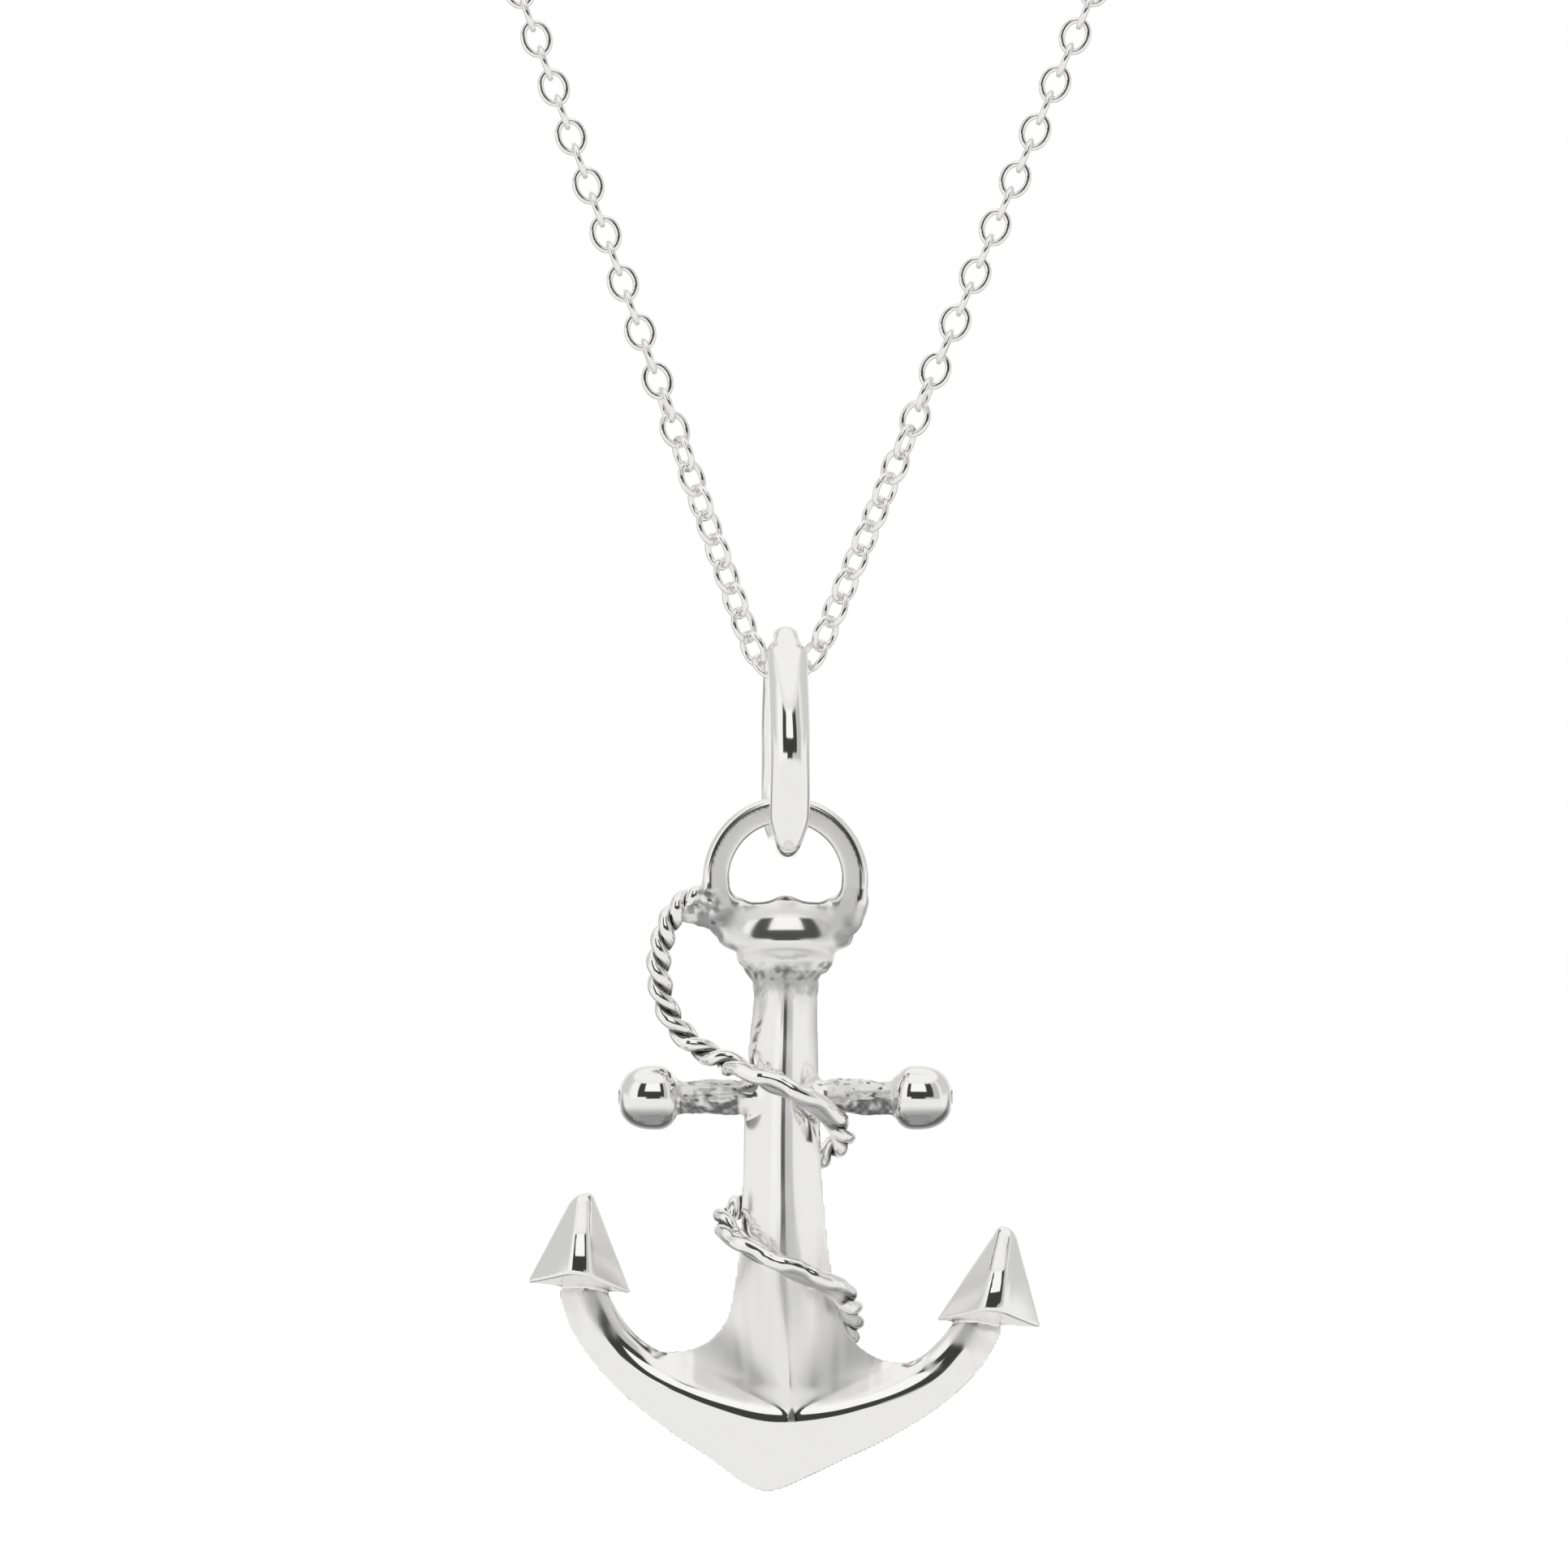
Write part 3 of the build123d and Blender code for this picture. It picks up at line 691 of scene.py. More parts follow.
def surface_net(values, low, cell):
    """Points and four-cornered faces of the surface where the values cross 0."""
    inside = values < 0
    corners = [(i, j, k) for i in (0, 1) for j in (0, 1) for k in (0, 1)]
    size = np.array(values.shape) - 1

    def corner(array, offset):
        i, j, k = offset
        return array[i:i + size[0], j:j + size[1], k:k + size[2]]

    filled = sum(corner(inside, offset).astype(np.int8) for offset in corners)
    active = (filled > 0) & (filled < 8)
    cells = np.argwhere(active)
    number = np.full(active.shape, -1, dtype=np.int64)
    number[active] = np.arange(len(cells))
    total = np.zeros((len(cells), 3))
    count = np.zeros(len(cells))
    edges = [(first, axis) for first in corners for axis in range(3) if first[axis] == 0]
    for first, axis in edges:
        second = list(first)
        second[axis] = 1
        a = values[tuple((cells + first).T)]
        b = values[tuple((cells + second).T)]
        crossing = (a < 0) != (b < 0)
        share = np.where(crossing, a / np.where(crossing, a - b, 1), 0)
        place = np.tile(np.array(first, float), (len(cells), 1))
        place[:, axis] = share
        total += place * crossing[:, None]
        count += crossing
    points = np.array(low) + cell * (cells + total / count[:, None])
    faces = []
    for axis in range(3):
        u = (axis + 1) % 3
        v = (axis + 2) % 3
        changed = np.argwhere(np.diff(inside, axis=axis))
        changed = changed[(changed[:, u] > 0) & (changed[:, v] > 0)]
        around = []
        for step_u, step_v in ((0, 0), (1, 0), (1, 1), (0, 1)):
            cell_of = changed.copy()
            cell_of[:, u] -= step_u
            cell_of[:, v] -= step_v
            around.append(number[tuple(cell_of.T)])
        quads = np.stack(around, axis=1)
        outward = inside[tuple(changed.T)]
        quads[~outward] = quads[~outward][:, ::-1]
        faces.append(quads)
    return points, np.concatenate(faces)


def mesh_object(name, points, faces, normals=None, attributes=None):
    """Mesh object from points in millimetres from the pivot."""
    mesh = bpy.data.meshes.new(name)
    placed = np.asarray(points) * MM + np.array(pivot)
    mesh.from_pydata(placed.tolist(), [], [list(face) for face in faces])
    mesh.polygons.foreach_set("use_smooth", [True] * len(mesh.polygons))
    for label, values in (attributes or {}).items():
        layer = mesh.attributes.new(label, "FLOAT", "POINT")
        layer.data.foreach_set("value", np.asarray(values, dtype=np.float32))
    mesh.update()
    if normals is not None:
        mesh.normals_split_custom_set_from_vertices(normals.tolist())
    piece = bpy.data.objects.new(name, mesh)
    bpy.context.scene.collection.objects.link(piece)
    return piece


def cast_anchor():
    """The anchor, whose net of points is moved on to the marked surface."""
    cell = CELL * 1
    counts = tuple(math.ceil(size / cell) + 1 for size in np.subtract(GRID_HIGH, GRID_LOW))
    values = grid_values(cast_shape, GRID_LOW, counts, cell)
    points, faces = surface_net(values, GRID_LOW, cell)
    for _ in range(SURFACE_STEPS):
        value = marked_shape(*points.T)
        slope = slope_of(marked_shape, points)
        steep = np.maximum((slope ** 2).sum(axis=1), 0.05)
        move = slope * (value / steep)[:, None]
        length = np.linalg.norm(move, axis=1, keepdims=True)
        points = points - move * np.minimum(1, LONGEST_STEP * cell / np.maximum(length, TINY))
    normals = unit(slope_of(marked_shape, points))
    hollow = np.zeros(len(points))
    for reach in HOLLOW_REACHES:
        ahead = points + normals * reach
        hollow = np.maximum(hollow, 1 - cast_shape(*ahead.T) / reach)
    # tarnish in hollows, raised by the darkening marks, some of which are painted shade
    hollow = np.maximum(hollow, stain_and_shade_share(points, normals))
    x, y, z = points.T
    rough = np.maximum(0.8 * roughness_share(x, z), satin_share(x, y, z))
    attributes = {"hollow": np.clip(hollow, 0, 1), "rough": rough}
    return mesh_object("anchor_cast", points, faces, normals, attributes)


def tube_mesh(line, sides, radius, across, closed, radius_beside=None):
    """Points and faces of a tube of round or oval section along close-set points.

    The radius may change along the line. across holds, for each point, the direction
    of the section's first radius, and radius_beside the second radius if it differs.
    """
    line = np.asarray(line, float)
    count = len(line)
    if closed:
        ahead = np.roll(line, -1, axis=0) - np.roll(line, 1, axis=0)
    else:
        ahead = np.gradient(line, axis=0)
    ahead = unit(ahead)
    first = unit(across - ahead * (across * ahead).sum(axis=1, keepdims=True))
    second = np.cross(ahead, first)
    beside = np.zeros(count) + (radius if radius_beside is None else radius_beside)
    radius = np.zeros(count) + radius
    turns = 2 * math.pi * np.arange(sides) / sides
    points = (
        line[:, None]
        + (radius[:, None] * np.cos(turns))[:, :, None] * first[:, None]
        + (beside[:, None] * np.sin(turns))[:, :, None] * second[:, None]
    ).reshape(-1, 3)
    low = np.arange(count * sides).reshape(count, sides)
    low_next = np.roll(low, -1, axis=1)
    high = np.roll(low, -1, axis=0)
    high_next = np.roll(low_next, -1, axis=0)
    quads = np.stack([low, low_next, high_next, high], axis=2)
    faces = quads[:None if closed else -1].reshape(-1, 4).tolist()
    if not closed:
        faces.append(list(range(sides))[::-1])
        faces.append(list(range((count - 1) * sides, count * sides)))
    return points, faces


def joined(meshes):
    """One list of points and one of faces from several meshes."""
    all_points = []
    all_faces = []
    total = 0
    for points, faces in meshes:
        all_points.append(points)
        all_faces += [[number + total for number in face] for face in faces]
        total += len(points)
    return np.concatenate(all_points), all_faces


def turned_ring(centre, diameter, wire, level, steps, sides):
    """Round ring of round wire, level (in the xy plane) or upright (in the xz plane)."""
    turns = 2 * math.pi * np.arange(steps) / steps
    bend = (diameter - wire) / 2
    parts = [np.cos(turns), np.sin(turns)]
    parts.insert(2 if level else 1, np.zeros(steps))
    out = np.stack(parts, axis=1)
    return tube_mesh(np.array(centre) + bend * out, sides, wire / 2, out, True)


# Rope: a free loop from the ring, then the winding round the shank

ROPE_SHANK_WIDTHS = [
    # drop below the head as a share of the shank, width and depth of the shank there
    (0, 2.92, 2.4),
    (0.2, 3.31, 2.64),
    (0.4, 3.61, 2.85),
    (0.585, 3.94, 3),
    (0.707, 4.66, 3.09),
    (0.781, 5.61, 3.15),
    (0.829, 6.98, 3.15),
]

ROPE_PITCHES = [
    # angle reached, length of one turn of the twist
    (-426, 2),
    (-300, 2.1),
    (-200, 2.7),
    (-66, 3),
    (-25, 30),
    (48, 30),
    (66, 2.6),
    (290, 2.6),
    (315, 30),
    (405, 30),
    (428, 2.4),
]

ROPE_WINDING = [
    # degrees from the front, share of the shank's length below the stock
    (-90, -0.1074),
    (0, -0.0308),
    (90, 0.131),
    (180, 0.247),
    (270, 0.3807),
    (360, 0.516),
    (450, 0.661),
    (540, 0.86),
]


def winding_point(angle):
    """The rope's centre at an angle round the shank, on a curve through the table."""
    angles, shares = zip(*ROPE_WINDING)
    place = (angle - angles[0]) / (angles[1] - angles[0])
    row = min(int(place), len(angles) - 2)
    part = place - row
    before, low, high, after = (shares[0], *shares, shares[-1])[row:row + 4]
    curve = 2 * before - 5 * low + 4 * high - after
    cubic = 3 * (low - high) + after - before
    below_stock = low + 0.5 * part * (high - before + part * (curve + part * cubic))
    drop = (SHANK_STOCK_DROP + below_stock * (SHANK_LENGTH - SHANK_STOCK_DROP)) / SHANK_LENGTH
    drops, widths, depths = zip(*ROPE_SHANK_WIDTHS)
    half_width = np.interp(drop, drops, widths) / 2 + ROPE_CLEAR + ROPE_SLACK
    half_depth = np.interp(drop, drops, depths) / 2 + ROPE_CLEAR
    turn = math.radians(angle)
    tighter = ROPE_TIGHTER_BEHIND * lift(-math.cos(turn), 0, 0.6)
    tighter = tighter * (1 - lift(angle, *ROPE_TIGHTER_UNTIL))
    across = half_width * math.sin(turn) * (1 - tighter)
    height = HEAD_FOOT_Z - SHANK_LENGTH * drop
    return np.array([across, -half_depth * math.cos(turn), height])


def rope_line():
    """Points of the rope's centre line, with the angle that each has reached."""
    start_turn = math.radians(ROPE_START_ANGLE)
    outward = np.array([math.cos(start_turn), 0, math.sin(start_turn)])
    from_ring = RING_MIDDLE_RADIUS + RING_HALF_BAND + ROPE_START_GAP
    start = np.array([0, 0, RING_Z]) + outward * from_ring
    land = winding_point(ROPE_FROM)
    ahead = winding_point(ROPE_FROM + 1) - land
    ahead = ahead / np.linalg.norm(ahead)
    fall = start[2] - land[2]
    leave = start + outward * ROPE_LOOP_LEAVES
    upper = np.array([-ROPE_LOOP_WIDTH, 0, start[2] - ROPE_LOOP_HIGH * fall])
    lower = np.array([-ROPE_LOOP_WIDTH, 0, land[2] + ROPE_LOOP_LOW * fall])
    arrive = land - ahead * ROPE_LOOP_LANDS
    points = []
    for step in range(ROPE_LOOP_STEPS):
        share = step / ROPE_LOOP_STEPS
        ladder = [start, leave, upper, lower, arrive, land]
        while len(ladder) > 1:
            ladder = [low + (high - low) * share for low, high in zip(ladder, ladder[1:])]
        points.append((*ladder[0], ROPE_FROM - 360 * (1 - share)))
    points += [(*winding_point(angle), angle) for angle in range(ROPE_FROM, ROPE_TO + 1, 2)]
    points = np.array(points)
    points[:, 0] -= ROPE_END_INWARD * lift(points[:, 3], *ROPE_END_ANGLES)
    return points


def walked_along(points):
    lengths = np.linalg.norm(np.diff(points, axis=0), axis=1)
    return np.concatenate([[0], np.cumsum(lengths)])


def even_line(points, spacing):
    """Points set evenly on a line, with what each point carries, and its length."""
    walked = walked_along(points[:, :3])
    count = int(round(walked[-1] / spacing)) + 1
    at = np.linspace(0, walked[-1], count)
    columns = [np.interp(at, walked, values) for values in points.T]
    return np.stack(columns, axis=1), walked[-1]


def rope_axes(line):
    """Two directions across the rope at each point, carried along without twist."""
    ahead = unit(np.gradient(line, axis=0))
    across = np.array([0.0, 1.0, 0.0])
    sideways = []
    for direction in ahead:
        across = across - direction * across.dot(direction)
        across = across / np.linalg.norm(across)
        sideways.append(across)
    sideways = np.array(sideways)
    return sideways, np.cross(ahead, sideways)


def rope_turning(angle, pitch, length, sideways, beside):
    """How far the strands have turned, fitted so that one lies upmost at each front."""
    turned = -2 * math.pi * np.cumsum(length / len(angle) / pitch)
    fronts = [int(np.argmin(np.abs(angle - front))) for front in (0, 360)]
    facing = np.array([0, -math.cos(ROPE_FACING), math.sin(ROPE_FACING)])
    wanted = [math.atan2(beside[row] @ facing, sideways[row] @ facing) for row in fronts]
    between = turned[fronts[1]] - turned[fronts[0]]
    half_turns = round((between - wanted[1] + wanted[0]) / math.pi)
    stretch = (wanted[1] - wanted[0] + half_turns * math.pi) / between
    return wanted[0] + (turned - turned[fronts[0]]) * stretch


def twisted_rope():
    """Two strands laid round each other, nearly straight where they cross the front."""
    line, length = even_line(rope_line(), ROPE_STEP)
    angle = line[:, 3]
    line = line[:, :3]
    sideways, beside = rope_axes(line)
    angles, pitches = zip(*ROPE_PITCHES)
    pitch = np.interp(angle, angles, pitches)
    in_front = lift(pitch, *STRAIGHT_PITCHES)
    walked = np.linspace(0, length, len(line))
    turned = rope_turning(angle, pitch, length, sideways, beside)
    turned = turned + ROPE_SWAY * in_front * np.sin(2 * math.pi * walked / ROPE_SWAY_LENGTH)
    to_end = np.clip(np.minimum(walked, length - walked) / ROPE_END_TAPER, 0, 1)
    taper = np.sqrt(np.clip(1 - (1 - to_end) ** 2, 0.02, 1))
    # painted shade on the rope's tucked-in end
    end_painted_shade = ROPE_END_SHADE * lift(angle, *ROPE_END_SHADE_ANGLES)
    meshes = []
    tarnish_and_shade_strands = []
    for start in (0, math.pi):
        twist = start + turned
        out = sideways * np.cos(twist)[:, None] + beside * np.sin(twist)[:, None]
        strand = line + STRAND_OFFSET * (1 - STRAND_CLOSER * in_front)[:, None] * out
        uneven = 1 + STRAND_UNEVEN * waves(*strand.T, 1.1, seed=21)
        radius = STRAND_RADIUS * (1 + STRAND_SWELL * in_front) * taper * uneven
        mesh = tube_mesh(strand, STRAND_SIDES, radius, out, False)
        meshes.append(mesh)
        rings = mesh[0].reshape(len(line), STRAND_SIDES, 3)
        from_centre = np.linalg.norm(rings - line[:, None], axis=2)
        upward = (rings - strand[:, None])[:, :, 2]
        # tarnish in the grooves between the strands, and painted shade on each strand's underside
        hollow = 1 - lift(from_centre + STRAND_UNDERSIDE_SHADE * upward, *GROOVE_REACH)
        hollow = hollow * (1 - GROOVE_LIGHTER * in_front[:, None])
        tarnish_and_shade_strands.append(np.maximum(hollow, end_painted_shade[:, None]).ravel())
    attributes = {"hollow": np.concatenate(tarnish_and_shade_strands)}
    return mesh_object("rope_twist", *joined(meshes), None, attributes)


# Bail: an upright oval ring whose legs swell


def closed_smooth(line, spread):
    """Softened closed line of evenly set points."""
    reach = int(3 * spread)
    weights = bell_weights(reach, 1, spread)
    soft = np.zeros_like(line)
    for step, weight in zip(range(-reach, reach + 1), weights):
        soft += weight * np.roll(line, step, axis=0)
    return soft


def bail_bend(bends, end_z):
    """The outline's front half from the waist to where it ends, at the middle plane."""
    places = [(0, -BAIL_HALF_DEPTH, 0)]
    lean = 0
    for lean_to, radius in bends:
        for degree in range(lean, lean_to):
            turn = math.radians(degree + 0.5)
            step = radius * math.radians(1)
            _, y, rise = places[-1]
            places.append((0, y + step * math.sin(turn), rise + step * math.cos(turn)))
        lean = lean_to
    outline = np.array(places)
    outline[:, 2] = BAIL_WAIST_Z + outline[:, 2] * (end_z - BAIL_WAIST_Z) / outline[-1, 2]
    outline[-1, 1] = 0
    return outline


def bail_ring():
    low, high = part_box("bail")
    top_z = (high.z - pivot.z) / MM
    foot_z = (low.z - pivot.z) / MM - BAIL_FOOT_DROP
    upper = bail_bend(BAIL_UPPER_BENDS, top_z)
    lower = bail_bend(BAIL_LOWER_BENDS, foot_z)
    front = np.concatenate([lower[::-1], upper[1:]])
    back = front[::-1] * np.array([1, -1, 1])
    even, _ = even_line(np.concatenate([front, back[1:]]), BAIL_STEP)
    outer = closed_smooth(even[:-1], BAIL_SOFTENING)
    along = unit(np.roll(outer, -1, axis=0) - np.roll(outer, 1, axis=0))
    inward = np.cross(along, np.array([1.0, 0, 0]))
    centre = outer.mean(axis=0)
    inward = inward * np.sign(((centre - outer) * inward).sum(axis=1, keepdims=True))
    from_waist = (outer[:, 2] - BAIL_WAIST_Z) / BAIL_SWELLING_HEIGHT
    thick = BAIL_WIRE / 2 + BAIL_SWELLING / 2 * np.exp(-(from_waist ** 2))
    hollow_from, hollow_full = (top_z - drop for drop in BAIL_HOLLOW_DROPS)
    thick = thick - BAIL_TOP_HOLLOW / 2 * lift(outer[:, 2], hollow_from, hollow_full)
    swell = lift(np.abs(outer[:, 1]), *BAIL_WIDENS)
    swell = swell * lift(outer[:, 2], foot_z, foot_z + BAIL_FOOT_HEIGHT)
    wide = BAIL_WIRE / 2 + (BAIL_LEG_WIDTH - BAIL_WIRE) / 2 * swell
    line = outer + inward * thick[:, None]
    across = np.tile([1.0, 0, 0], (len(line), 1))
    points, faces = tube_mesh(line, BAIL_SIDES, wide, across, True, thick)
    cosine = math.cos(BAIL_YAW)
    sine = math.sin(BAIL_YAW)
    turn = np.array([[cosine, sine, 0], [-sine, cosine, 0], [0, 0, 1]])
    return mesh_object("bail_wire", points @ turn, faces)


# Chain: oval links, each turned a quarter against the last, and a jump ring


def chain_route():
    """The chain's centre line seen from the front, from its left end to its right."""
    low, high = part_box("chain")
    neck_radius = (high.x - low.x) / 2 / MM - LINK_WIDTH / 2
    neck = np.array([-pivot.x / MM, -neck_radius - pivot.z / MM])
    top_z = (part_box("bail")[1].z - pivot.z) / MM - BAIL_WIRE / 2
    dip = np.array([0, top_z])
    dip_radius = top_z - (chain_hinge.z - pivot.z) / MM
    fall = dip - neck
    axis = math.atan2(fall[1], fall[0])
    spread = math.acos((neck_radius - dip_radius) / np.linalg.norm(fall))
    left_end = math.pi / 2 + CHAIN_LEFT_END / neck_radius
    left_leave = axis - spread + 2 * math.pi
    right_leave = axis + spread + 2 * math.pi
    right_end = 5 * math.pi / 2 - CHAIN_RIGHT_END / neck_radius

    def arc(centre, radius, start, stop):
        turns = np.linspace(start, stop, int(radius * (stop - start) / 0.1) + 2)
        return centre + radius * np.stack([np.cos(turns), np.sin(turns)], axis=1)

    left = arc(neck, neck_radius, left_end, left_leave)
    foot = arc(dip, dip_radius, left_leave, right_leave)
    right = arc(neck, neck_radius, right_leave, right_end)
    return np.concatenate([left, foot, right])


def cable_chain():
    route = chain_route()
    walked = walked_along(route)
    spaces = int(round(walked[-1] / LINK_PITCH))
    spaces += 1 - spaces % 2  # an odd number
    pitch = walked[-1] / spaces
    turns = 2 * math.pi * np.arange(LINK_STEPS) / LINK_STEPS
    half_long = (LINK_LENGTH - LINK_WIRE) / 2
    half_wide = (LINK_WIDTH - LINK_WIRE) / 2
    between = pitch * np.arange(spaces + 2) - pitch / 2
    ends = np.stack([np.interp(between, walked, values) for values in route.T], axis=1)
    ends[0] = 2 * route[0] - ends[1]
    ends[-1] = 2 * route[-1] - ends[-2]
    meshes = []
    for number in range(spaces + 1):
        middle = (ends[number] + ends[number + 1]) / 2
        along = ends[number + 1] - ends[number]
        along = along / np.linalg.norm(along)
        twist = math.pi / 4 * lift(-middle[1], *TWIST_DEPTHS)
        roll = number * math.pi / 2 + twist
        ahead = np.array([along[0], 0, along[1]])
        wide = np.array([-along[1] * math.cos(roll), math.sin(roll), along[0] * math.cos(roll)])
        out = np.outer(np.cos(turns), ahead) * half_long + np.outer(np.sin(turns), wide) * half_wide
        centre = np.array([middle[0], 0, middle[1]])
        meshes.append(tube_mesh(centre + out, LINK_SIDES, LINK_WIRE / 2, out, True))
    ring_at = (-pivot.x / MM - JUMP_RING_X, 0, -pivot.z / MM)
    jump_ring = turned_ring(ring_at, JUMP_RING_DIAMETER, JUMP_RING_WIRE, True, steps=48, sides=16)
    meshes.append(jump_ring)
    return mesh_object("chain_links", *joined(meshes))


def clasp_ring():
    low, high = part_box("clasp")
    diameter = (high.z - low.z) / MM
    wire = (high.y - low.y) / MM
    ring_x = (low.x - pivot.x) / MM + diameter / 2
    z = ((high.z + low.z) / 2 - pivot.z) / MM
    eye_x = (high.x - pivot.x) / MM - CLASP_EYE_DIAMETER / 2
    ring = turned_ring((ring_x, 0, z), diameter, wire, False, steps=128, sides=32)
    eye = turned_ring((eye_x, 0, z), CLASP_EYE_DIAMETER, CLASP_EYE_WIRE, False, steps=72, sides=20)
    return mesh_object("clasp_rings", *joined([ring, eye]))


# Materials


def soft_ramp(tree, value, start, stop):
    """Node output that rises smoothly from 0 at start to 1 at stop."""
    ramp = tree.nodes.new("ShaderNodeMapRange")
    ramp.interpolation_type = "SMOOTHSTEP"
    tree.links.new(value, ramp.inputs["Value"])
    ramp.inputs["From Min"].default_value = start
    ramp.inputs["From Max"].default_value = stop
    return ramp.outputs["Result"]


def silver(name, roughness):
    """Polished silver that is dark in its hollows and where shade is painted, and dull where it is
    rough.
    """
    material = bpy.data.materials.new(name)
    material.use_nodes = True
    tree = material.node_tree
    nodes = tree.nodes
    links = tree.links
    shader = nodes["Principled BSDF"]

    def attribute(label):
        node = nodes.new("ShaderNodeAttribute")
        node.attribute_name = label
        return node.outputs["Fac"]

    def dulled(source, bright, dull, socket):
        node = nodes.new("ShaderNodeMapRange")
        links.new(source, node.inputs["Value"])
        node.inputs["To Min"].default_value = bright
        node.inputs["To Max"].default_value = dull
        links.new(node.outputs["Result"], shader.inputs[socket])

    stain_and_shade_ramp = soft_ramp(tree, attribute("hollow"), *TARNISH_AND_SHADE_SHARES)
    colour = nodes.new("ShaderNodeMix")
    colour.data_type = "RGBA"
    links.new(stain_and_shade_ramp, colour.inputs["Factor"])
    colour.inputs["A"].default_value = SILVER_COLOUR
    colour.inputs["B"].default_value = TARNISH_AND_SHADE_COLOUR
    links.new(colour.outputs["Result"], shader.inputs["Base Color"])
    rough = attribute("rough")
    dulled(rough, roughness, BRUSHED_ROUGHNESS, "Roughness")
    dulled(rough, 1.0, BRUSHED_METALLIC, "Metallic")
    return material


polished = silver("silver_polished_look", 0.07)
oxidised = silver("silver_oxidised_look", 0.1)
wire_silver = silver("silver_chain_look", 0.05)

PIECES = [
    # piece, body, CAD node it stands for, slot, material
    (cast_anchor, "anchor", "anchor", "silver_polished", polished),
    (twisted_rope, "anchor", "rope", "silver_oxidised", oxidised),
    (bail_ring, "bail", "bail", "silver_polished", polished),
    (cable_chain, "chain", "chain", "silver_chain", wire_silver),
    (clasp_ring, "chain", "clasp", "silver_chain", wire_silver),
]
for build, body, node, slot, material in PIECES:
    piece = build()
    piece.data.materials.append(material)
    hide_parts(node)
    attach(piece, body)


# Studio: pale floor, soft surroundings and the camera


def build_floor():
    radius = FLOOR_RADIUS * MM
    level = pivot.z - FLOOR_DEPTH * MM
    turns = [2 * math.pi * number / FLOOR_SIDES for number in range(FLOOR_SIDES)]
    rim = [(radius * math.cos(turn), radius * math.sin(turn), level) for turn in turns]
    mesh = bpy.data.meshes.new("floor")
    mesh.from_pydata(rim, [], [list(range(FLOOR_SIDES))])
    floor = bpy.data.objects.new("floor", mesh)
    bpy.context.scene.collection.objects.link(floor)
    material = bpy.data.materials.new("pale_floor")
    material.use_nodes = True
    shader = material.node_tree.nodes["Principled BSDF"]
    shader.inputs["Base Color"].default_value = (0.93, 0.93, 0.93, 1)
    shader.inputs["Roughness"].default_value = 0.9
    shader.inputs["Emission Color"].default_value = (1, 1, 1, 1)
    shader.inputs["Emission Strength"].default_value = 0.35
    mesh.materials.append(material)
    floor.visible_glossy = False


ROOM_LEVEL = 208  # screen brightness of 255 where no row says otherwise
BEHIND = (0.5, 0.95)  # how far a direction points backwards where the white begins
SURROUNDINGS = [
    # screen brightness, azimuth from, to, its edge, elevation from, to, its edge
    (150, -400, 400, 1, -200, 0, 10),
    (240, -108, 108, 10, -66, 8, 6),
    (244, -400, 400, 1, 52, 200, 5),
    (238, -75, 75, 12, -62, 52, 6),
    (248, -66, 0, 6, -4, 49, 3),
    (192, 0, 62, 5, -4, 49, 3),
    (226, -400, 400, 1, -200, -66, 5),
    (62, -14, 14, 3, -4, 4, 1),
    (62, -38, 38, 2, 2, 49, 1.5),
    (252, -18, 18, 1, 21, 51, 1),
]


def from_screen(level):
    """Light that the picture shows as this level of 255."""
    share = level / 255
    return ((share + 0.055) / 1.055) ** 2.4


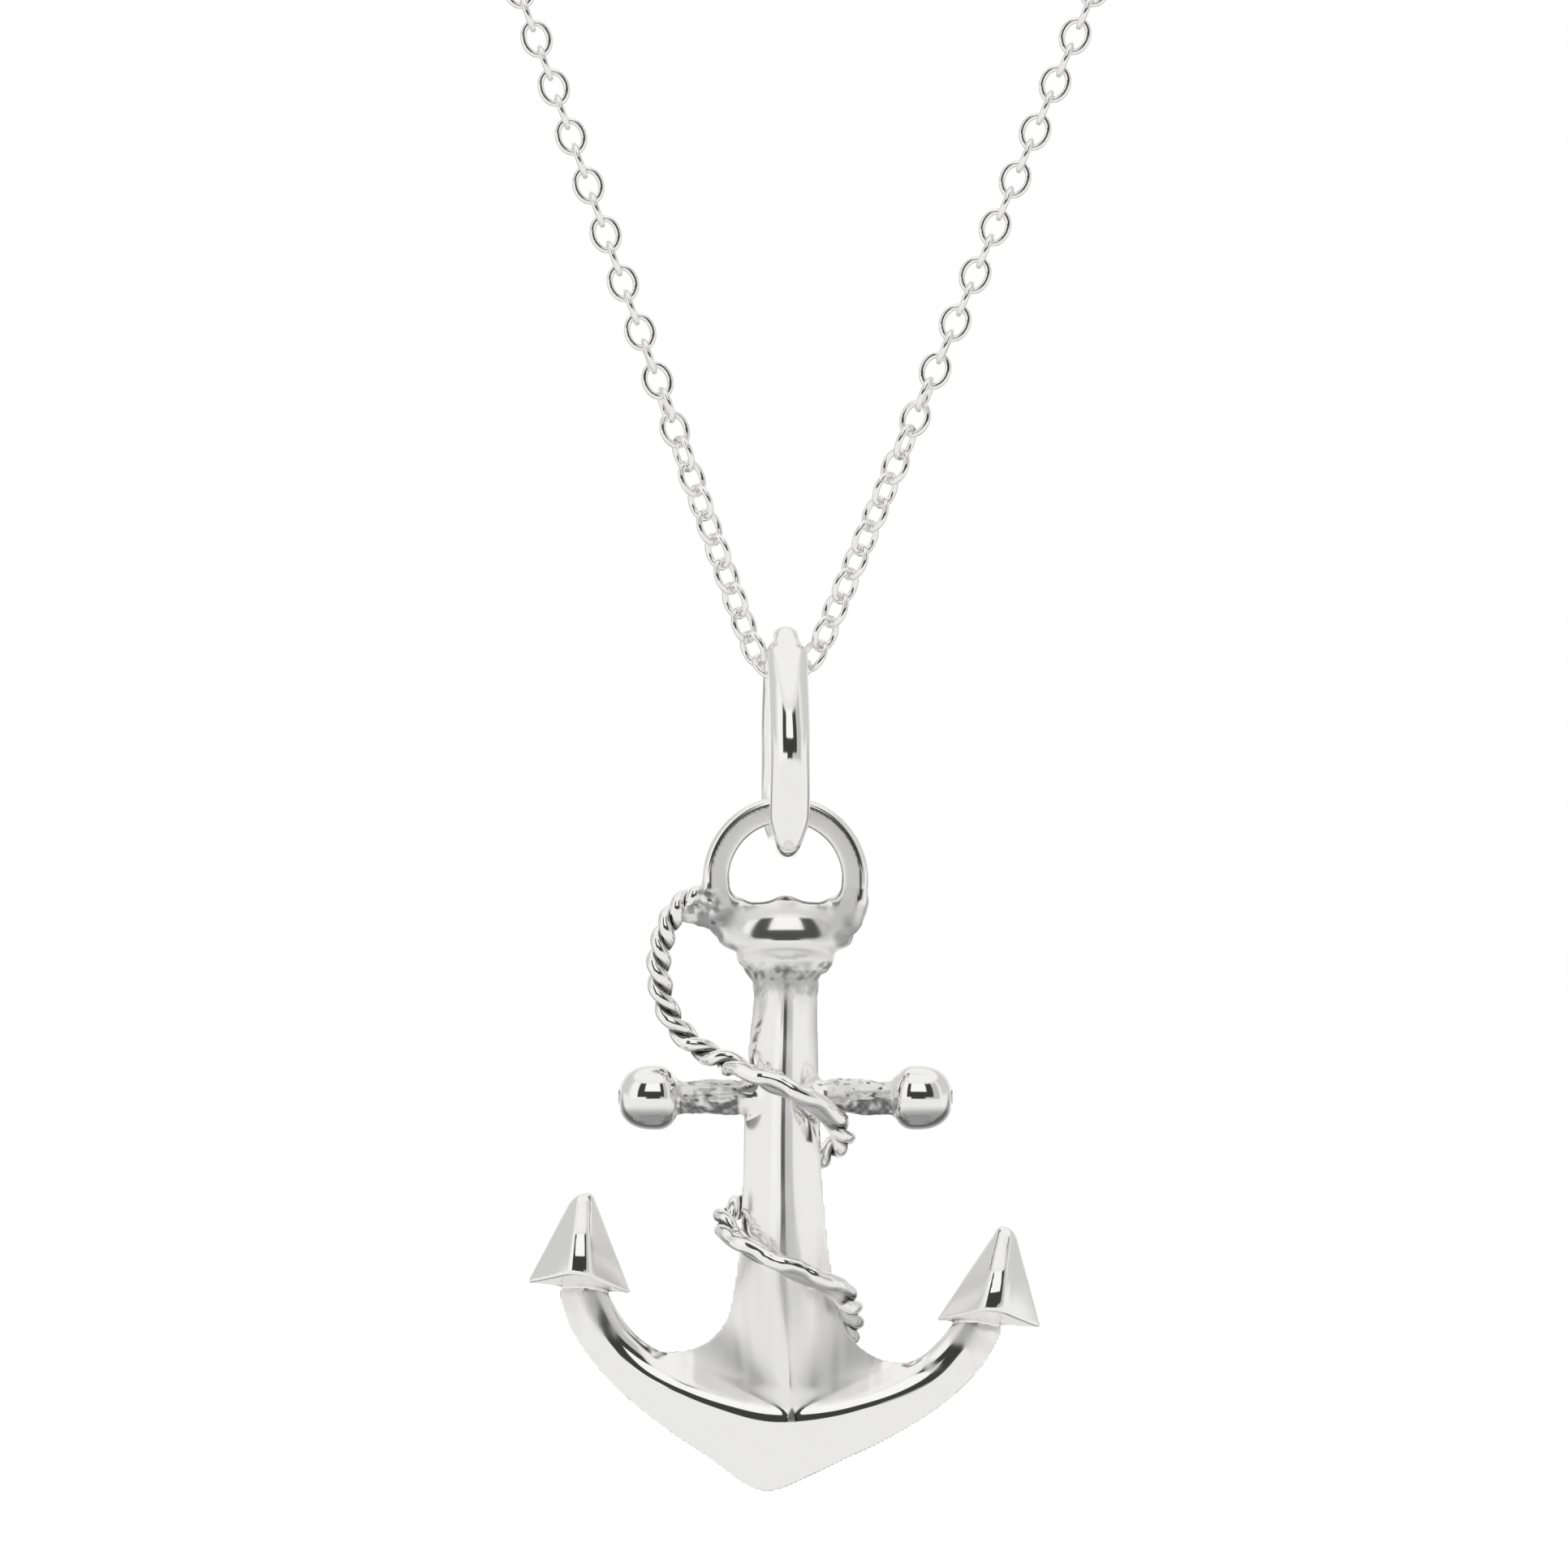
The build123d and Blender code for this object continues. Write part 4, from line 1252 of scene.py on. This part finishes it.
def build_world():
    """White tent with a dim opening in front, and greyer below."""
    world = bpy.data.worlds.new("studio")
    world.use_nodes = True
    bpy.context.scene.world = world
    tree = world.node_tree
    nodes = tree.nodes
    links = tree.links
    nodes.clear()

    def combined(operation, *values):
        node = nodes.new("ShaderNodeMath")
        node.operation = operation
        for value, socket in zip(values, node.inputs):
            if isinstance(value, (int, float)):
                socket.default_value = value
            else:
                links.new(value, socket)
        return node.outputs[0]

    def band(value, low, high, edge):
        """1 between low and high, with soft edges."""
        above = soft_ramp(tree, value, low - edge, low + edge)
        return combined("MULTIPLY", above, soft_ramp(tree, value, high + edge, high - edge))

    coordinates = nodes.new("ShaderNodeTexCoord")
    split = nodes.new("ShaderNodeSeparateXYZ")
    links.new(coordinates.outputs["Generated"], split.inputs[0])
    to_front = combined("MULTIPLY", split.outputs["Y"], -1)
    azimuth = combined("ARCTAN2", split.outputs["X"], to_front)
    azimuth = combined("MULTIPLY", azimuth, 180 / math.pi)
    elevation = combined("MULTIPLY", combined("ARCSINE", split.outputs["Z"]), 180 / math.pi)

    brightness = from_screen(ROOM_LEVEL)
    for level, az_low, az_high, az_edge, el_low, el_high, el_edge in SURROUNDINGS:
        mask_across = band(azimuth, az_low, az_high, az_edge)
        mask = combined("MULTIPLY", mask_across, band(elevation, el_low, el_high, el_edge))
        change = combined("SUBTRACT", from_screen(level), brightness)
        brightness = combined("ADD", brightness, combined("MULTIPLY", change, mask))
    behind = soft_ramp(tree, split.outputs["Y"], *BEHIND)
    change = combined("MULTIPLY", combined("SUBTRACT", 1.0, brightness), behind)
    brightness = combined("ADD", brightness, change)

    path = nodes.new("ShaderNodeLightPath")
    seen = nodes.new("ShaderNodeMix")
    seen.data_type = "FLOAT"
    links.new(path.outputs["Is Camera Ray"], seen.inputs[0])
    links.new(brightness, seen.inputs[2])
    seen.inputs[3].default_value = 1.0
    background = nodes.new("ShaderNodeBackground")
    links.new(seen.outputs[0], background.inputs["Color"])
    output = nodes.new("ShaderNodeOutputWorld")
    links.new(background.outputs[0], output.inputs["Surface"])


def build_camera():
    camera = bpy.data.objects.new("camera", bpy.data.cameras.new("camera"))
    camera.data.sensor_width = SENSOR_WIDTH
    camera.data.lens = SENSOR_WIDTH * CAMERA_DISTANCE / PICTURE_WIDTH
    camera.data.clip_start = 0.01
    camera.data.clip_end = 20
    target = pivot + Vector((PICTURE_CENTRE_X, 0, PICTURE_CENTRE_Z)) * MM
    camera.location = target - Vector((0, CAMERA_DISTANCE * MM, 0))
    camera.rotation_euler = (math.pi / 2, 0, 0)
    bpy.context.scene.collection.objects.link(camera)
    bpy.context.scene.camera = camera


build_floor()
build_world()
build_camera()
bpy.context.scene.view_settings.view_transform = "Standard"
